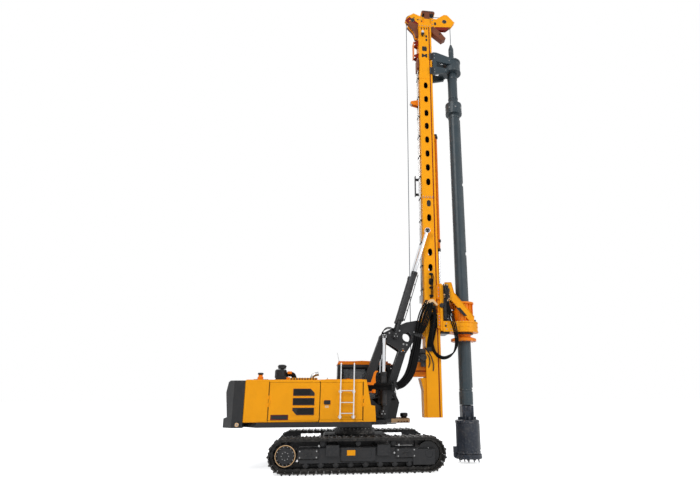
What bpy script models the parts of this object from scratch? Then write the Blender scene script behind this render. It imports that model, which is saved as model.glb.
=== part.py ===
"""Rotary piling rig on crawler tracks, modelled standing with its mast upright.

Metres, +X to the mast, +Y to the machine's left, +Z up.
Places below are measured from the slewing axis and the ground.
The empty "rig" moves the whole model so that its origin is
under the middle of its length.
"""
import math

import bmesh
import bpy
from mathutils import Matrix, Vector

# Overall places
X_REAR = -3.86
X_FRONT = 4.18
TOUCH = 0.0003
CLEAR = 0.006

# Crawler tracks
TRACK_HALF_LENGTH = 2.5
TRACK_R = 0.49
TRACK_Y = 1.65
SHOE_WIDTH = 0.70
SHOE_COUNT = 51
SHOE_PLATE_R = TRACK_R - 0.032
CHAIN_R = TRACK_R - 0.145
WHEEL_X = TRACK_HALF_LENGTH - TRACK_R
BEAM_X = 0.72
BEAM_W = 0.36
BEAM_Y0 = 0.55
BEAM_Z0 = TRACK_R - 0.04
BEAM_Z1 = TRACK_R + 0.26

# Upper structure
DECK_Z = 1.20
DECK_TOP = 1.34
HOOD_Z0 = DECK_TOP + TOUCH
HOOD_Z1 = 2.52
SIDE_Y = 1.45
DECK_Y = SIDE_Y - 0.01
DECK_FRONT = 1.88
CW_FRONT = -3.28
SEAM_REAR = -2.58
SEAM_MID = -1.13
SEAM_FRONT = 0.13
WALL = 0.03
HINGE_Y = SIDE_Y + 0.012
HINGE_Z = 1.92

# Luffing gear: pins in the XZ plane
BOOM_FOOT = (0.86, 1.55)
BOOM_TOP = (1.53, 3.49)
LINK_FOOT = (0.23, 1.99)
LINK_TOP = (BOOM_TOP[0] + LINK_FOOT[0] - BOOM_FOOT[0],
            BOOM_TOP[1] + LINK_FOOT[1] - BOOM_FOOT[1])
MAST_PIN = (2.06, 4.30)
CYL_FOOT = (1.27, 3.96)
CYL_EYE = (2.42, 7.65)
ARM_Y0 = 0.12
EAR_Y0 = 0.235
ARM_Y1 = EAR_Y0 - TOUCH
EAR_Y1 = 0.275
LUFF_Y = 0.402
MAST_CYL_Y = 0.405
EYE_HALF = 0.064
PIN_R = 0.062
PIN_HOLE_R = 0.067

# Mast
MAST_X0 = 2.30
MAST_X1 = 2.70
RAIL_X0 = 2.74
RAIL_X1 = 2.81
MAST_Y = 0.28
MAST_Z0 = 1.39
MAST_Z1 = 16.45
MAST_SPLIT = 8.98

# Kelly bar and bucket
KELLY_X = 3.68
KELLY_R = 0.21
KELLY_Z0 = 1.77
KELLY_Z1 = 12.58
BUCKET_R = 0.38
BUCKET_Z0 = 0.28
BUCKET_Z1 = 1.30
DRIVE_R = 0.50
DRIVE_Z0 = 4.12
DRIVE_Z1 = 4.47
PANEL_TOP = 5.75
CROWD_ROD_Z1 = 9.10
FOLLOWER_Z0 = 14.46
FOLLOWER_Z1 = 15.03


for old in list(bpy.data.objects):
    bpy.data.objects.remove(old, do_unlink=True)


def new_collection(name):
    group = bpy.data.collections.new(name)
    bpy.context.scene.collection.children.link(group)
    return group


PARTS = new_collection("piling_rig")
CUTTERS = new_collection("cutters")


# Modelling helpers

def material(name, color, roughness, metallic=0.0):
    mat = bpy.data.materials.new(name)
    mat.use_nodes = True
    shader = mat.node_tree.nodes["Principled BSDF"]
    shader.inputs["Base Color"].default_value = (*color, 1.0)
    shader.inputs["Roughness"].default_value = roughness
    shader.inputs["Metallic"].default_value = metallic
    mat.diffuse_color = (*color, 1.0)
    return mat


def new_object(name, data):
    obj = bpy.data.objects.new(name, data)
    CUTTERS.objects.link(obj)
    return obj


def from_bmesh(name, bm):
    mesh = bpy.data.meshes.new(name)
    bm.to_mesh(mesh)
    bm.free()
    return new_object(name, mesh)


def box(x, y, z, chamfer=0.0):
    """A block from (low, high) pairs, with its edges cut by chamfer."""
    size = [abs(v[1] - v[0]) for v in (x, y, z)]
    centre = [(v[0] + v[1]) / 2 for v in (x, y, z)]
    bm = bmesh.new()
    place = Matrix.Translation(centre) @ Matrix.Diagonal((*size, 1.0))
    bmesh.ops.create_cube(bm, size=1.0, matrix=place)
    if chamfer:
        bmesh.ops.bevel(bm, geom=bm.edges[:], offset=chamfer, segments=1,
                        affect="EDGES")
    return from_bmesh("box", bm)


def rod(start, end, r, r_end=None, sides=16):
    """A cylinder or cone between two points."""
    a = Vector(start)
    b = Vector(end)
    turn = (b - a).to_track_quat("Z", "Y").to_matrix().to_4x4()
    bm = bmesh.new()
    bmesh.ops.create_cone(bm, cap_ends=True, segments=sides, radius1=r,
                          radius2=r if r_end is None else r_end,
                          depth=(b - a).length,
                          matrix=Matrix.Translation((a + b) / 2) @ turn)
    return from_bmesh("rod", bm)


def evaluated_mesh(obj):
    graph = bpy.context.evaluated_depsgraph_get()
    graph.update()
    return bpy.data.meshes.new_from_object(obj.evaluated_get(graph))


def to_mesh(obj):
    """A mesh object from a curve, its caps welded and in world places."""
    mesh = evaluated_mesh(obj)
    bm = bmesh.new()
    bm.from_mesh(mesh)
    bmesh.ops.remove_doubles(bm, verts=bm.verts[:], dist=0.00005)
    bmesh.ops.transform(bm, matrix=obj.matrix_world, verts=bm.verts[:])
    bmesh.ops.recalc_face_normals(bm, faces=bm.faces[:])
    bpy.data.objects.remove(obj, do_unlink=True)
    return from_bmesh("shape", bm)


PLANES = {
    "XZ": Matrix(((1, 0, 0), (0, 0, -1), (0, 1, 0))).to_4x4(),
    "YZ": Matrix(((0, 0, 1), (1, 0, 0), (0, 1, 0))).to_4x4(),
    "XY": Matrix.Identity(4),
}


def plate(plane, low, high, outline, *holes):
    """A flat outline, with holes, thickened from low to high."""
    curve = bpy.data.curves.new("outline", "CURVE")
    curve.dimensions = "2D"
    curve.fill_mode = "BOTH"
    curve.extrude = abs(high - low) / 2
    for points in (outline, *holes):
        spline = curve.splines.new("POLY")
        spline.points.add(len(points) - 1)
        for point, (u, v) in zip(spline.points, points):
            point.co = (u, v, 0.0, 1.0)
        spline.use_cyclic_u = True
    obj = new_object("outline", curve)
    turn = PLANES[plane]
    normal = turn.col[2].to_3d()
    middle = (low + high) / 2
    axis_sign = normal.x + normal.y + normal.z
    obj.matrix_world = Matrix.Translation(normal * middle * axis_sign) @ turn
    bpy.context.view_layer.update()
    return to_mesh(obj)


def arc(centre, r, start, end, steps):
    """Points on a circle from start to end, in degrees."""
    span = [math.radians(start + (end - start) * i / steps)
            for i in range(steps + 1)]
    return [(centre[0] + r * math.cos(a), centre[1] + r * math.sin(a))
            for a in span]


def circle(centre, r, steps=16):
    return arc(centre, r, 0, 360 - 360 / steps, steps - 1)


def slot_outline(centre, width, height, steps=4):
    """An upright slot with round ends."""
    r = width / 2
    half = height / 2 - r
    return (arc((centre[0], centre[1] + half), r, 0, 180, steps)
            + arc((centre[0], centre[1] - half), r, 180, 360, steps))


def bar_outline(a, b, ra, rb, steps=6):
    """A link plate's outline: two round ends and straight sides."""
    heading = math.degrees(math.atan2(b[1] - a[1], b[0] - a[0]))
    return (arc(b, rb, heading - 90, heading + 90, steps)
            + arc(a, ra, heading + 90, heading + 270, steps))


def turned(profile, at, sides=24):
    """A profile of (radius, height) pairs, top to bottom, turned on Z."""
    mesh = bpy.data.meshes.new("profile")
    points = [(r, 0.0, z) for r, z in profile]
    edges = [(i, i + 1) for i in range(len(points) - 1)]
    mesh.from_pydata(points, edges, [])
    obj = new_object("turned", mesh)
    screw = obj.modifiers.new("turn", "SCREW")
    screw.steps = sides
    screw.render_steps = sides
    screw.use_merge_vertices = True
    screw.merge_threshold = 0.0001
    obj.location = at
    bpy.context.view_layer.update()
    return to_mesh(obj)


def tube(points, r, resolution=2):
    """A round bar or hose through the points."""
    curve = bpy.data.curves.new("tube", "CURVE")
    curve.dimensions = "3D"
    curve.bevel_depth = r
    curve.bevel_resolution = resolution
    curve.use_fill_caps = True
    spline = curve.splines.new("POLY")
    spline.points.add(len(points) - 1)
    for point, place in zip(spline.points, points):
        point.co = (*place, 1.0)
    return to_mesh(new_object("tube", curve))


def boolean(base, tools, operation, solver="EXACT"):
    """The base with the tools joined to it or cut from it."""
    for tool in tools:
        step = base.modifiers.new(operation, "BOOLEAN")
        step.operation = operation
        step.solver = solver
        step.object = tool
        mesh = evaluated_mesh(base)
        base.modifiers.clear()
        base.data = mesh
        bpy.data.objects.remove(tool, do_unlink=True)
    return base


def fuse(*pieces, solver="EXACT"):
    return boolean(pieces[0], pieces[1:], "UNION", solver)


def cut(base, *tools, solver="EXACT"):
    return boolean(base, tools, "DIFFERENCE", solver)


def mirrored(obj):
    """A copy of a piece on the other side of the XZ plane."""
    bm = bmesh.new()
    bm.from_mesh(obj.data)
    bmesh.ops.scale(bm, vec=(1, -1, 1), verts=bm.verts[:])
    bmesh.ops.reverse_faces(bm, faces=bm.faces[:])
    return from_bmesh("mirrored", bm)


def both_sides(piece):
    return [piece, mirrored(piece)]


# Bodies: one empty on each joint's axis

PLACES = {}


def axis(name, parent, at):
    empty = bpy.data.objects.new("axis_" + name, None)
    PARTS.objects.link(empty)
    PLACES[empty.name] = Vector(at)
    if parent is None:
        empty.location = at
    else:
        empty.parent = parent
        empty.location = Vector(at) - PLACES[parent.name]
    return empty


def node(name, obj, mat, body, smooth=True):
    """Names a finished piece and hangs it on its body's empty."""
    obj.data.transform(Matrix.Translation(-PLACES[body.name]))
    obj.name = name
    obj.data.name = name
    obj.data.materials.clear()
    obj.data.materials.append(mat)
    if smooth:
        obj.data.shade_smooth()
        obj.data.set_sharp_from_angle(angle=math.radians(32))
    CUTTERS.objects.unlink(obj)
    PARTS.objects.link(obj)
    obj.parent = body
    return obj


YELLOW = material("yellow_paint", (0.95, 0.42, 0.01), 0.4)
ORANGE = material("orange_paint", (0.80, 0.22, 0.01), 0.45)
CHARCOAL = material("charcoal_paint", (0.03, 0.032, 0.035), 0.5)
SLATE = material("slate_paint", (0.045, 0.06, 0.07), 0.5)
NAVY = material("dark_bucket_paint", (0.018, 0.026, 0.045), 0.5)
BLACK = material("black_frame", (0.012, 0.012, 0.013), 0.45)
GLASS = material("tinted_glass", (0.04, 0.05, 0.055), 0.08)
STEEL = material("bare_steel", (0.35, 0.35, 0.34), 0.4, 1.0)
CHROME = material("chrome_rod", (0.75, 0.76, 0.78), 0.12, 1.0)
TRACK = material("track_steel", (0.05, 0.048, 0.045), 0.6, 0.6)
RUBBER = material("hose_rubber", (0.012, 0.012, 0.012), 0.6)
ROPE = material("wire_rope", (0.22, 0.25, 0.27), 0.5, 0.7)
LADDER = material("ladder_alloy", (0.55, 0.56, 0.57), 0.35, 0.9)
SEAT = material("seat_fabric", (0.03, 0.03, 0.035), 0.9)

MIDDLE = (X_REAR + X_FRONT) / 2
RIG = axis("rig", None, (0, 0, 0))
RIG.name = "rig"
PLACES["rig"] = Vector((0, 0, 0))
RIG.location = (-MIDDLE, 0, 0)


# Undercarriage

def carbody():
    hull = box((-0.98, 0.98), (-0.75, 0.75), (0.35, 0.94), chamfer=0.04)
    gap = TOUCH
    tunnels = [box((x - BEAM_W / 2 - gap, x + BEAM_W / 2 + gap), (-0.9, 0.9),
                   (BEAM_Z0 - gap, BEAM_Z1 + gap))
               for x in (-BEAM_X, BEAM_X)]
    node("carbody", cut(hull, *tunnels), CHARCOAL, RIG)
    ring = turned([(0.0, DECK_Z - TOUCH), (0.56, DECK_Z - TOUCH),
                   (0.56, 1.09), (0.64, 1.09), (0.64, 0.94 + TOUCH),
                   (0.0, 0.94 + TOUCH)], (0, 0, 0), sides=28)
    node("slew_ring", ring, STEEL, RIG)


def loop_point(s, r):
    """A place s metres along the track's loop, r from its wheels' axes."""
    straight = 2 * WHEEL_X
    bend = math.pi * SHOE_PLATE_R
    s = s % (2 * (straight + bend))
    if s < straight:
        return (-WHEEL_X + s, TRACK_R - r)
    s -= straight
    if s < bend:
        a = -math.pi / 2 + s / SHOE_PLATE_R
        return (WHEEL_X + r * math.cos(a), TRACK_R + r * math.sin(a))
    s -= bend
    if s < straight:
        return (WHEEL_X - s, TRACK_R + r)
    a = math.pi / 2 + (s - straight) / SHOE_PLATE_R
    return (-WHEEL_X + r * math.cos(a), TRACK_R + r * math.sin(a))


def smooth_loop(r, steps=14):
    """The loop at one distance: two straights and two half circles."""
    return (arc((WHEEL_X, TRACK_R), r, -90, 90, steps)
            + arc((-WHEEL_X, TRACK_R), r, 90, 270, steps))


# One shoe: share of its pitch, distance from the wheels' axes
SHOE_SHAPE = ((0.00, SHOE_PLATE_R), (0.60, SHOE_PLATE_R), (0.66, TRACK_R),
              (0.84, TRACK_R))


def track_loop(y):
    length = 4 * WHEEL_X + 2 * math.pi * SHOE_PLATE_R
    pitch = length / SHOE_COUNT
    outer = [loop_point((i + share) * pitch, r)
             for i in range(SHOE_COUNT) for share, r in SHOE_SHAPE]
    shoes = plate("XZ", y - SHOE_WIDTH / 2, y + SHOE_WIDTH / 2, outer,
                  smooth_loop(TRACK_R - 0.065))
    chain = plate("XZ", y - 0.11, y + 0.11, smooth_loop(TRACK_R - 0.058),
                  smooth_loop(CHAIN_R))
    return fuse(shoes, chain, solver="MANIFOLD")


def around(at, *offsets):
    """Points at the given (x, z) distances from one place."""
    return [(at[0] + x, at[1] + z) for x, z in offsets]


def span(side, y0, y1):
    """A (low, high) pair of Y on the machine's left or right."""
    return (side * y0, side * y1) if side > 0 else (side * y1, side * y0)


ROLLER_COUNT = 8
CARRIER_X = (-1.0, 0.0, 1.0)


def track_frame(side):
    """One side's beam, with places measured from the track's middle and axles."""
    def block(x, y, z, chamfer=0.0):
        return box(x, span(side, TRACK_Y + y[0], TRACK_Y + y[1]),
                   (TRACK_R + z[0], TRACK_R + z[1]), chamfer)

    def roller(x, z, r):
        return rod((x, side * (TRACK_Y - 0.10), z), (x, side * (TRACK_Y + 0.10), z),
                   r, sides=8)

    pieces = [block((-WHEEL_X + 0.35, WHEEL_X - 0.41), (-0.17, 0.15),
                    (0.105 - CHAIN_R, CHAIN_R - 0.135), 0.03)]
    reach = WHEEL_X - 0.56
    spread = [-reach + 2 * reach * i / (ROLLER_COUNT - 1) for i in range(ROLLER_COUNT)]
    low_z = TRACK_R - CHAIN_R + TOUCH + 0.095
    pieces += [roller(x, low_z, 0.095) for x in spread]
    top = CHAIN_R - TOUCH - 0.06
    for x in CARRIER_X:
        pieces.append(roller(x, TRACK_R + top, 0.06))
        pieces.append(block((x - 0.05, x + 0.05), (-0.05, 0.05),
                            (CHAIN_R - 0.175, top)))
    for x in (-BEAM_X, BEAM_X):
        low, high = x - BEAM_W / 2, x + BEAM_W / 2
        pieces.append(box((low, high), span(side, BEAM_Y0, TRACK_Y + 0.22),
                          (BEAM_Z0, BEAM_Z1)))
    pieces.append(block((-0.50, 0.50), (0.13, 0.21), (-0.18, 0.20), 0.02))
    for x in (-WHEEL_X + 0.62, WHEEL_X - 0.66):
        pieces.append(block((x - 0.30, x + 0.30), (0.13, 0.20), (-0.11, 0.17), 0.02))
    pieces.append(block((-WHEEL_X - 0.11, -WHEEL_X + 0.41), (-0.19, -0.15), (-0.13, 0.13)))
    pieces.append(block((WHEEL_X - 0.46, WHEEL_X + 0.13), (-0.19, -0.15), (-0.11, 0.11)))
    pieces.append(block((WHEEL_X - 0.46, WHEEL_X + 0.17), (0.14, 0.19), (-0.29, 0.13)))
    idler = rod((WHEEL_X, side * (TRACK_Y - 0.08), TRACK_R),
                (WHEEL_X, side * (TRACK_Y + 0.08), TRACK_R), CHAIN_R - 0.015, sides=20)
    shaft = rod((WHEEL_X, side * (TRACK_Y - 0.18), TRACK_R),
                (WHEEL_X, side * (TRACK_Y + 0.17), TRACK_R), 0.10, sides=8)
    return fuse(*pieces, idler, shaft)


def sprocket(side):
    def across(y0, y1, r, r_end=None):
        return rod((-WHEEL_X, side * (TRACK_Y + y0), TRACK_R),
                   (-WHEEL_X, side * (TRACK_Y + y1), TRACK_R), r, r_end, sides=20)

    hub = [across(-0.15 + TOUCH, 0.23, 0.235), across(0.22, 0.27, 0.26, 0.20)]
    teeth = 12
    rim = []
    for i in range(teeth):
        a = 360 * i / teeth
        rim += [(-WHEEL_X + r * math.cos(math.radians(a + d)),
                 TRACK_R + r * math.sin(math.radians(a + d)))
                for d, r in ((-8, CHAIN_R - 0.06), (-4, CHAIN_R - 0.01),
                             (4, CHAIN_R - 0.01), (8, CHAIN_R - 0.06))]
    disc = plate("XZ", *span(side, TRACK_Y - 0.05, TRACK_Y + 0.05), rim)
    return fuse(disc, *hub)


def crawlers():
    carbody()
    for side, name in ((-1, "right"), (1, "left")):
        body = axis("crawler_" + name, RIG, (0, side * TRACK_Y, TRACK_R))
        node("track_frame_" + name, track_frame(side), CHARCOAL, body)
        node("track_" + name, track_loop(side * TRACK_Y), TRACK, body)
        node("sprocket_" + name, sprocket(side), CHARCOAL, body)


crawlers()


# Upper structure

EAR_OUTLINE = (arc(LINK_FOOT, 0.17, 70, 190, 6)
               + [(-0.30, 1.52), (-0.30, 1.40), (1.02, 1.40)]
               + arc(BOOM_FOOT, 0.16, -10, 60, 4)
               + [(0.66, 1.84)])


def turntable():
    rear = CW_FRONT + TOUCH
    deck = plate("XY", DECK_Z, DECK_TOP, [
        (rear, -0.95), (rear, 0.95), (rear + 0.38 - TOUCH, DECK_Y), (DECK_FRONT, DECK_Y),
        (DECK_FRONT, 0.62), (1.40, 0.54), (0.98, 0.42), (0.98, -0.42), (0.40, -0.50),
        (0.40, -DECK_Y), (rear + 0.38 - TOUCH, -DECK_Y)])
    pieces = [deck]
    for side in (-1, 1):
        pieces.append(plate("XZ", *span(side, EAR_Y0, EAR_Y1),
                            [(x, max(z, 1.30) if z < 1.41 else z)
                             for x, z in EAR_OUTLINE]))
        pieces.append(box((-0.28, 0.10), span(side, EAR_Y0 + 0.02, 0.36),
                          (1.30, 1.62)))
    boss_end = LUFF_Y - EYE_HALF - TOUCH
    pieces += both_sides(rod((BOOM_FOOT[0], EAR_Y1 - 0.02, BOOM_FOOT[1]),
                             (BOOM_FOOT[0], boss_end, BOOM_FOOT[1]), 0.11))
    frame = fuse(*pieces)
    pins = [rod((x, -0.6, z), (x, 0.6, z), PIN_HOLE_R, sides=12)
            for x, z in (BOOM_FOOT, LINK_FOOT)]
    node("turntable", cut(frame, *pins), CHARCOAL, SLEW)


def counterweight():
    side = [(X_REAR + 0.08, 2.46), (X_REAR + 0.02, 2.17), (X_REAR + 0.11, 1.49),
            (X_REAR, 1.45), (X_REAR, DECK_Z), (CW_FRONT, DECK_Z),
            (CW_FRONT, 2.50), (X_REAR + 0.14, 2.50)]
    block = plate("XZ", -SIDE_Y, SIDE_Y, side)
    corners = [plate("XY", 1.0, 2.7, [
        (X_REAR - 0.1, s * 1.05), (X_REAR + 0.42, s * 1.60),
        (X_REAR - 0.1, s * 1.60)]) for s in (-1, 1)]
    lugs = [rod((-3.42, s * 1.40, 1.29), (-3.42, s * 1.50, 1.29), 0.075)
            for s in (-1, 1)]
    node("counterweight", fuse(cut(block, *corners), *lugs), CHARCOAL, SLEW)


DOOR_Z0 = 1.40
DOOR_Z1 = 2.44


def engine_hood():
    """The rear shell: open below, with a doorway on each side."""
    x0 = CW_FRONT + TOUCH
    x1 = SEAM_MID - TOUCH
    shell = box((x0, x1), (-SIDE_Y, SIDE_Y), (HOOD_Z0, HOOD_Z1), chamfer=0.02)
    pod = box((x1 - 0.10, -0.64), (0.56, SIDE_Y), (HOOD_Z0, HOOD_Z1), chamfer=0.02)
    inside = box((x0 + WALL, x1 - WALL), (-SIDE_Y + WALL, SIDE_Y - WALL),
                 (HOOD_Z0 - 0.1, HOOD_Z1 - WALL))
    doors = box((SEAM_REAR - 0.003, SEAM_MID + 0.2), (-SIDE_Y - 0.1, -SIDE_Y + 0.2),
                (DOOR_Z0 - 0.006, DOOR_Z1 + 0.006))
    door_left = box((SEAM_REAR - 0.003, SEAM_MID - 0.05),
                    (SIDE_Y - 0.2, SIDE_Y + 0.1), (DOOR_Z0 - 0.006, DOOR_Z1 + 0.006))
    shell = cut(fuse(shell, pod), inside, doors, door_left)
    hinges = [piece for side in (-1, 1) for piece in
              fixed_knuckles(SEAM_REAR, side * HINGE_Y, HINGE_Z, 1, side)]
    node("engine_hood", fuse(shell, *hinges), YELLOW, SLEW)
    block = fuse(box((-2.75, -1.55), (-0.62, 0.55), (DECK_TOP + TOUCH, 2.10), 0.04),
                 box((-3.10, -2.70), (-0.95, 0.95), (DECK_TOP + TOUCH, 2.35), 0.03),
                 rod((-1.7, 0.0, 1.75), (-1.25, 0.0, 1.75), 0.30))
    node("engine", block, STEEL, SLEW)


def tank_housing():
    """The right front housing: the tank's face stands behind its door."""
    front = [(SEAM_MID + TOUCH, HOOD_Z0), (0.53, HOOD_Z0), (0.50, 1.78),
             (0.38, 1.80), (0.24, 2.53), (SEAM_MID + TOUCH, 2.53)]
    shell = plate("XZ", -SIDE_Y, -0.54, front)
    doorway = box((SEAM_MID - 0.1, SEAM_FRONT + 0.003),
                  (-SIDE_Y - 0.1, -SIDE_Y + 0.30), (DOOR_Z0 - 0.006, DOOR_Z1 + 0.006))
    hinges = fixed_knuckles(SEAM_FRONT, -HINGE_Y, HINGE_Z, -1, -1)
    node("tank_housing", fuse(cut(shell, doorway), *hinges), YELLOW, SLEW)


def knuckle(x, y, z0, z1, heading, out, reach):
    """One roll of an upright hinge with its leaf, which lies on one side."""
    near, far = sorted((x + heading * 0.003, x + heading * 0.05))
    leaf = sorted((y - out * reach, y + out * 0.002))
    return fuse(rod((x, y, z0), (x, y, z1), 0.011, sides=10),
                box((near, far), leaf, (z0 + 0.004, z1 - 0.004)))


def fixed_knuckles(x, y, z, to_door, out, reach=0.016):
    return [knuckle(x, y, z - 0.16, z - 0.05 - TOUCH, -to_door, out, reach),
            knuckle(x, y, z + 0.05 + TOUCH, z + 0.16, -to_door, out, reach)]


def door_knuckle(x, y, z, to_door, out, reach=0.016):
    return knuckle(x, y, z - 0.05, z + 0.05, to_door, out, reach)


def door_panel(x0, x1, y_out, side):
    y = (y_out, y_out - side * 0.03)
    return box((min(x0, x1), max(x0, x1)), (min(y), max(y)), (DOOR_Z0, DOOR_Z1))


def louvres(side):
    """Three raised grilles on a hood door."""
    y = span(side, SIDE_Y - 0.01, SIDE_Y + 0.012)
    return [box((-1.90, -1.28), y, (z, z + 0.20)) for z in (1.54, 1.81, 2.07)]


def hood_doors():
    rear = axis("hood_door_right_rear", SLEW, (SEAM_REAR, -HINGE_Y, 1.9))
    panel = door_panel(SEAM_REAR + CLEAR, SEAM_MID - 0.003, -SIDE_Y, -1)
    hinge = door_knuckle(SEAM_REAR, -HINGE_Y, HINGE_Z, 1, -1)
    node("hood_door_right_rear", fuse(panel, hinge, *louvres(-1)), YELLOW, rear)
    front = axis("hood_door_right_front", SLEW, (SEAM_FRONT, -HINGE_Y, 1.9))
    panel = door_panel(SEAM_MID + 0.003, SEAM_FRONT - CLEAR, -SIDE_Y, -1)
    latch = box((-1.00, -0.82), (-SIDE_Y - 0.02, -SIDE_Y + 0.01), (1.83, 1.94))
    hinge = door_knuckle(SEAM_FRONT, -HINGE_Y, HINGE_Z, -1, -1)
    node("hood_door_right_front", fuse(panel, hinge, latch), YELLOW, front)
    left = axis("hood_door_left", SLEW, (SEAM_REAR, HINGE_Y, 1.9))
    panel = door_panel(SEAM_REAR + CLEAR, SEAM_MID - 0.06, SIDE_Y, 1)
    hinge = door_knuckle(SEAM_REAR, HINGE_Y, HINGE_Z, 1, 1)
    node("hood_door_left", fuse(panel, hinge, *louvres(1)), YELLOW, left)
    ladder(front)


def ladder(body):
    """Two stiles and three rungs standing off the front hood door."""
    y = -SIDE_Y - 0.11
    stiles = [rod((x, y, 1.48), (x, y, 2.42), 0.022, sides=8)
              for x in (-0.53, -0.14)]
    rungs = [rod((-0.55, y, z), (-0.12, y, z), 0.018, sides=6)
             for z in (1.58, 1.88, 2.21)]
    feet = [rod((x, y, z), (x, -SIDE_Y - TOUCH, z), 0.02, sides=6)
            for x in (-0.53, -0.14) for z in (1.52, 2.36)]
    node("ladder", fuse(*stiles, *rungs, *feet), LADDER, body)


def hood_top():
    z = HOOD_Z1 + TOUCH
    base = turned([(0.0, 2.86), (0.15, 2.86), (0.18, 2.82), (0.18, 2.60),
                   (0.10, 2.58), (0.10, z), (0.0, z)], (-2.36, -0.5, 0), sides=14)
    cap = turned([(0.0, 3.0), (0.06, 2.99), (0.125, 2.93), (0.125, 2.88),
                  (0.05, 2.87), (0.05, 2.84), (0.0, 2.84)], (-2.33, -0.5, 0), sides=14)
    node("air_cleaner", fuse(base, cap), BLACK, SLEW)
    pipe = tube([(-1.40, -0.30, z), (-1.40, -0.30, 2.62), (-1.37, -0.30, 2.68),
                 (-1.30, -0.30, 2.72), (-1.20, -0.30, 2.74)], 0.06)
    node("exhaust", pipe, STEEL, SLEW)


SLEW = axis("slew", RIG, (0, 0, DECK_Z))
turntable()
counterweight()
engine_hood()
tank_housing()
hood_doors()
hood_top()


# Cab

CAB_Y0 = 0.53
CAB_Y1 = 1.47
CAB_Z0 = DECK_TOP + TOUCH
DOOR_X0 = -0.22
DOOR_X1 = 1.06
CAB_HINGE = (DOOR_X0 + 0.013, CAB_Y1 + 0.006)
CAB_SIDE = ((-0.59, CAB_Z0), (1.40, CAB_Z0), (1.52, 1.85), (1.22, 2.51),
            (1.20, 3.08), (-0.57, 3.08))
CAB_INSIDE = ((-0.53, 1.42), (1.34, 1.42), (1.455, 1.84), (1.16, 2.49),
              (1.14, 3.03), (-0.52, 3.03))
SIDE_WINDOW = ((-0.40, 1.95), (1.36, 1.95), (1.12, 2.46), (1.09, 2.96),
               (-0.40, 2.96))


def shrunk(points, gap):
    """The outline drawn in towards its middle by about the gap."""
    u0 = (min(p[0] for p in points) + max(p[0] for p in points)) / 2
    v0 = (min(p[1] for p in points) + max(p[1] for p in points)) / 2
    return [(u - math.copysign(gap, u - u0), v - math.copysign(gap, v - v0))
            for u, v in points]


def cab():
    shell = plate("XZ", CAB_Y0, CAB_Y1, CAB_SIDE)
    inside = plate("XZ", CAB_Y0 + 0.05, CAB_Y1 - 0.05, CAB_INSIDE)
    window = plate("XZ", CAB_Y0 - 0.1, CAB_Y0 + 0.2, SIDE_WINDOW)
    doorway = box((DOOR_X0, DOOR_X1), (CAB_Y1 - 0.2, CAB_Y1 + 0.1), (1.44, 3.00))
    front = plate("XZ", CAB_Y0 + 0.07, CAB_Y1 - 0.07,
                  [(1.0, 1.50), (1.8, 1.50), (1.8, 2.96), (1.0, 2.96)])
    shell = cut(shell, inside, window, doorway, front)
    hinges = fixed_knuckles(*CAB_HINGE, HINGE_Z + 0.3, 1, 1, reach=0.010)
    node("cab_shell", fuse(shell, *hinges), BLACK, SLEW)
    pane = plate("XZ", CAB_Y0 + 0.015, CAB_Y0 + 0.03, shrunk(SIDE_WINDOW, TOUCH))
    node("cab_glass_right", pane, GLASS, SLEW)
    gap = TOUCH
    bent = [(1.43, 1.50 + gap), (1.445, 1.50 + gap), (1.503, 1.85), (1.21, 2.50),
            (1.19, 2.96 - gap), (1.175, 2.96 - gap), (1.195, 2.495), (1.485, 1.852)]
    node("cab_glass_front", plate("XZ", CAB_Y0 + 0.07 + gap, CAB_Y1 - 0.07 - gap, bent),
         GLASS, SLEW)
    roof = plate("XZ", CAB_Y0 - 0.01, CAB_Y1 + 0.01,
                 [(-0.60, 3.08 + TOUCH), (1.24, 3.08 + TOUCH), (1.24, 3.12),
                  (0.95, 3.18), (0.25, 3.21), (-0.53, 3.16)])
    node("cab_roof", roof, ORANGE, SLEW)
    cab_door()
    seat()


def cab_door():
    hinge = axis("cab_door", SLEW, (*CAB_HINGE, 2.2))
    low, high = CAB_Y1 - 0.045, CAB_Y1 - 0.01
    x0, x1, z0, z1 = DOOR_X0 + CLEAR, DOOR_X1 - CLEAR, 1.446, 2.994
    outline = [(x0, z0), (x1, z0), (x1, z1), (x0, z1)]
    pane = [(x0 + 0.07, 1.95), (x1 - 0.07, 1.95), (x1 - 0.07, z1 - 0.07),
            (x0 + 0.07, z1 - 0.07)]
    knob = door_knuckle(*CAB_HINGE, HINGE_Z + 0.3, 1, 1, reach=0.019)
    node("cab_door", fuse(plate("XZ", low, high, outline, pane), knob), BLACK, hinge)
    node("cab_door_glass", plate("XZ", low + 0.01, high - 0.01,
                                 shrunk(pane, TOUCH)), GLASS, hinge)


def seat():
    z = 1.42 + TOUCH
    parts = [box((0.15, 0.55), (0.80, 1.20), (z, 1.72)),
             box((0.08, 0.62), (0.76, 1.24), (1.70, 1.86), 0.03),
             box((0.0, 0.14), (0.78, 1.22), (1.78, 2.52), 0.03),
             box((0.10, 0.66), (0.64, 0.775), (1.78, 1.98), 0.02),
             box((0.10, 0.66), (1.225, 1.36), (1.78, 1.98), 0.02)]
    node("operator_seat", fuse(*parts), SEAT, SLEW)


cab()


# Luffing gear

def side_pin(at, y0, y1, r=PIN_R, sides=12):
    return both_sides(rod((at[0], y0, at[1]), (at[0], y1, at[1]), r, sides=sides))


def along(a, b, distance):
    """The point a distance from a on the way to b."""
    length = math.dist(a, b)
    return (a[0] + (b[0] - a[0]) * distance / length,
            a[1] + (b[1] - a[1]) * distance / length)


def arm_pair(foot, top, r_foot, r_top, tie):
    plates = both_sides(plate("XZ", ARM_Y0, ARM_Y1,
                              bar_outline(foot, top, r_foot, r_top, 6)))
    return plates + [rod((tie[0], -ARM_Y0 - 0.02, tie[1]),
                         (tie[0], ARM_Y0 + 0.02, tie[1]), 0.07, sides=16)]


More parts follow.
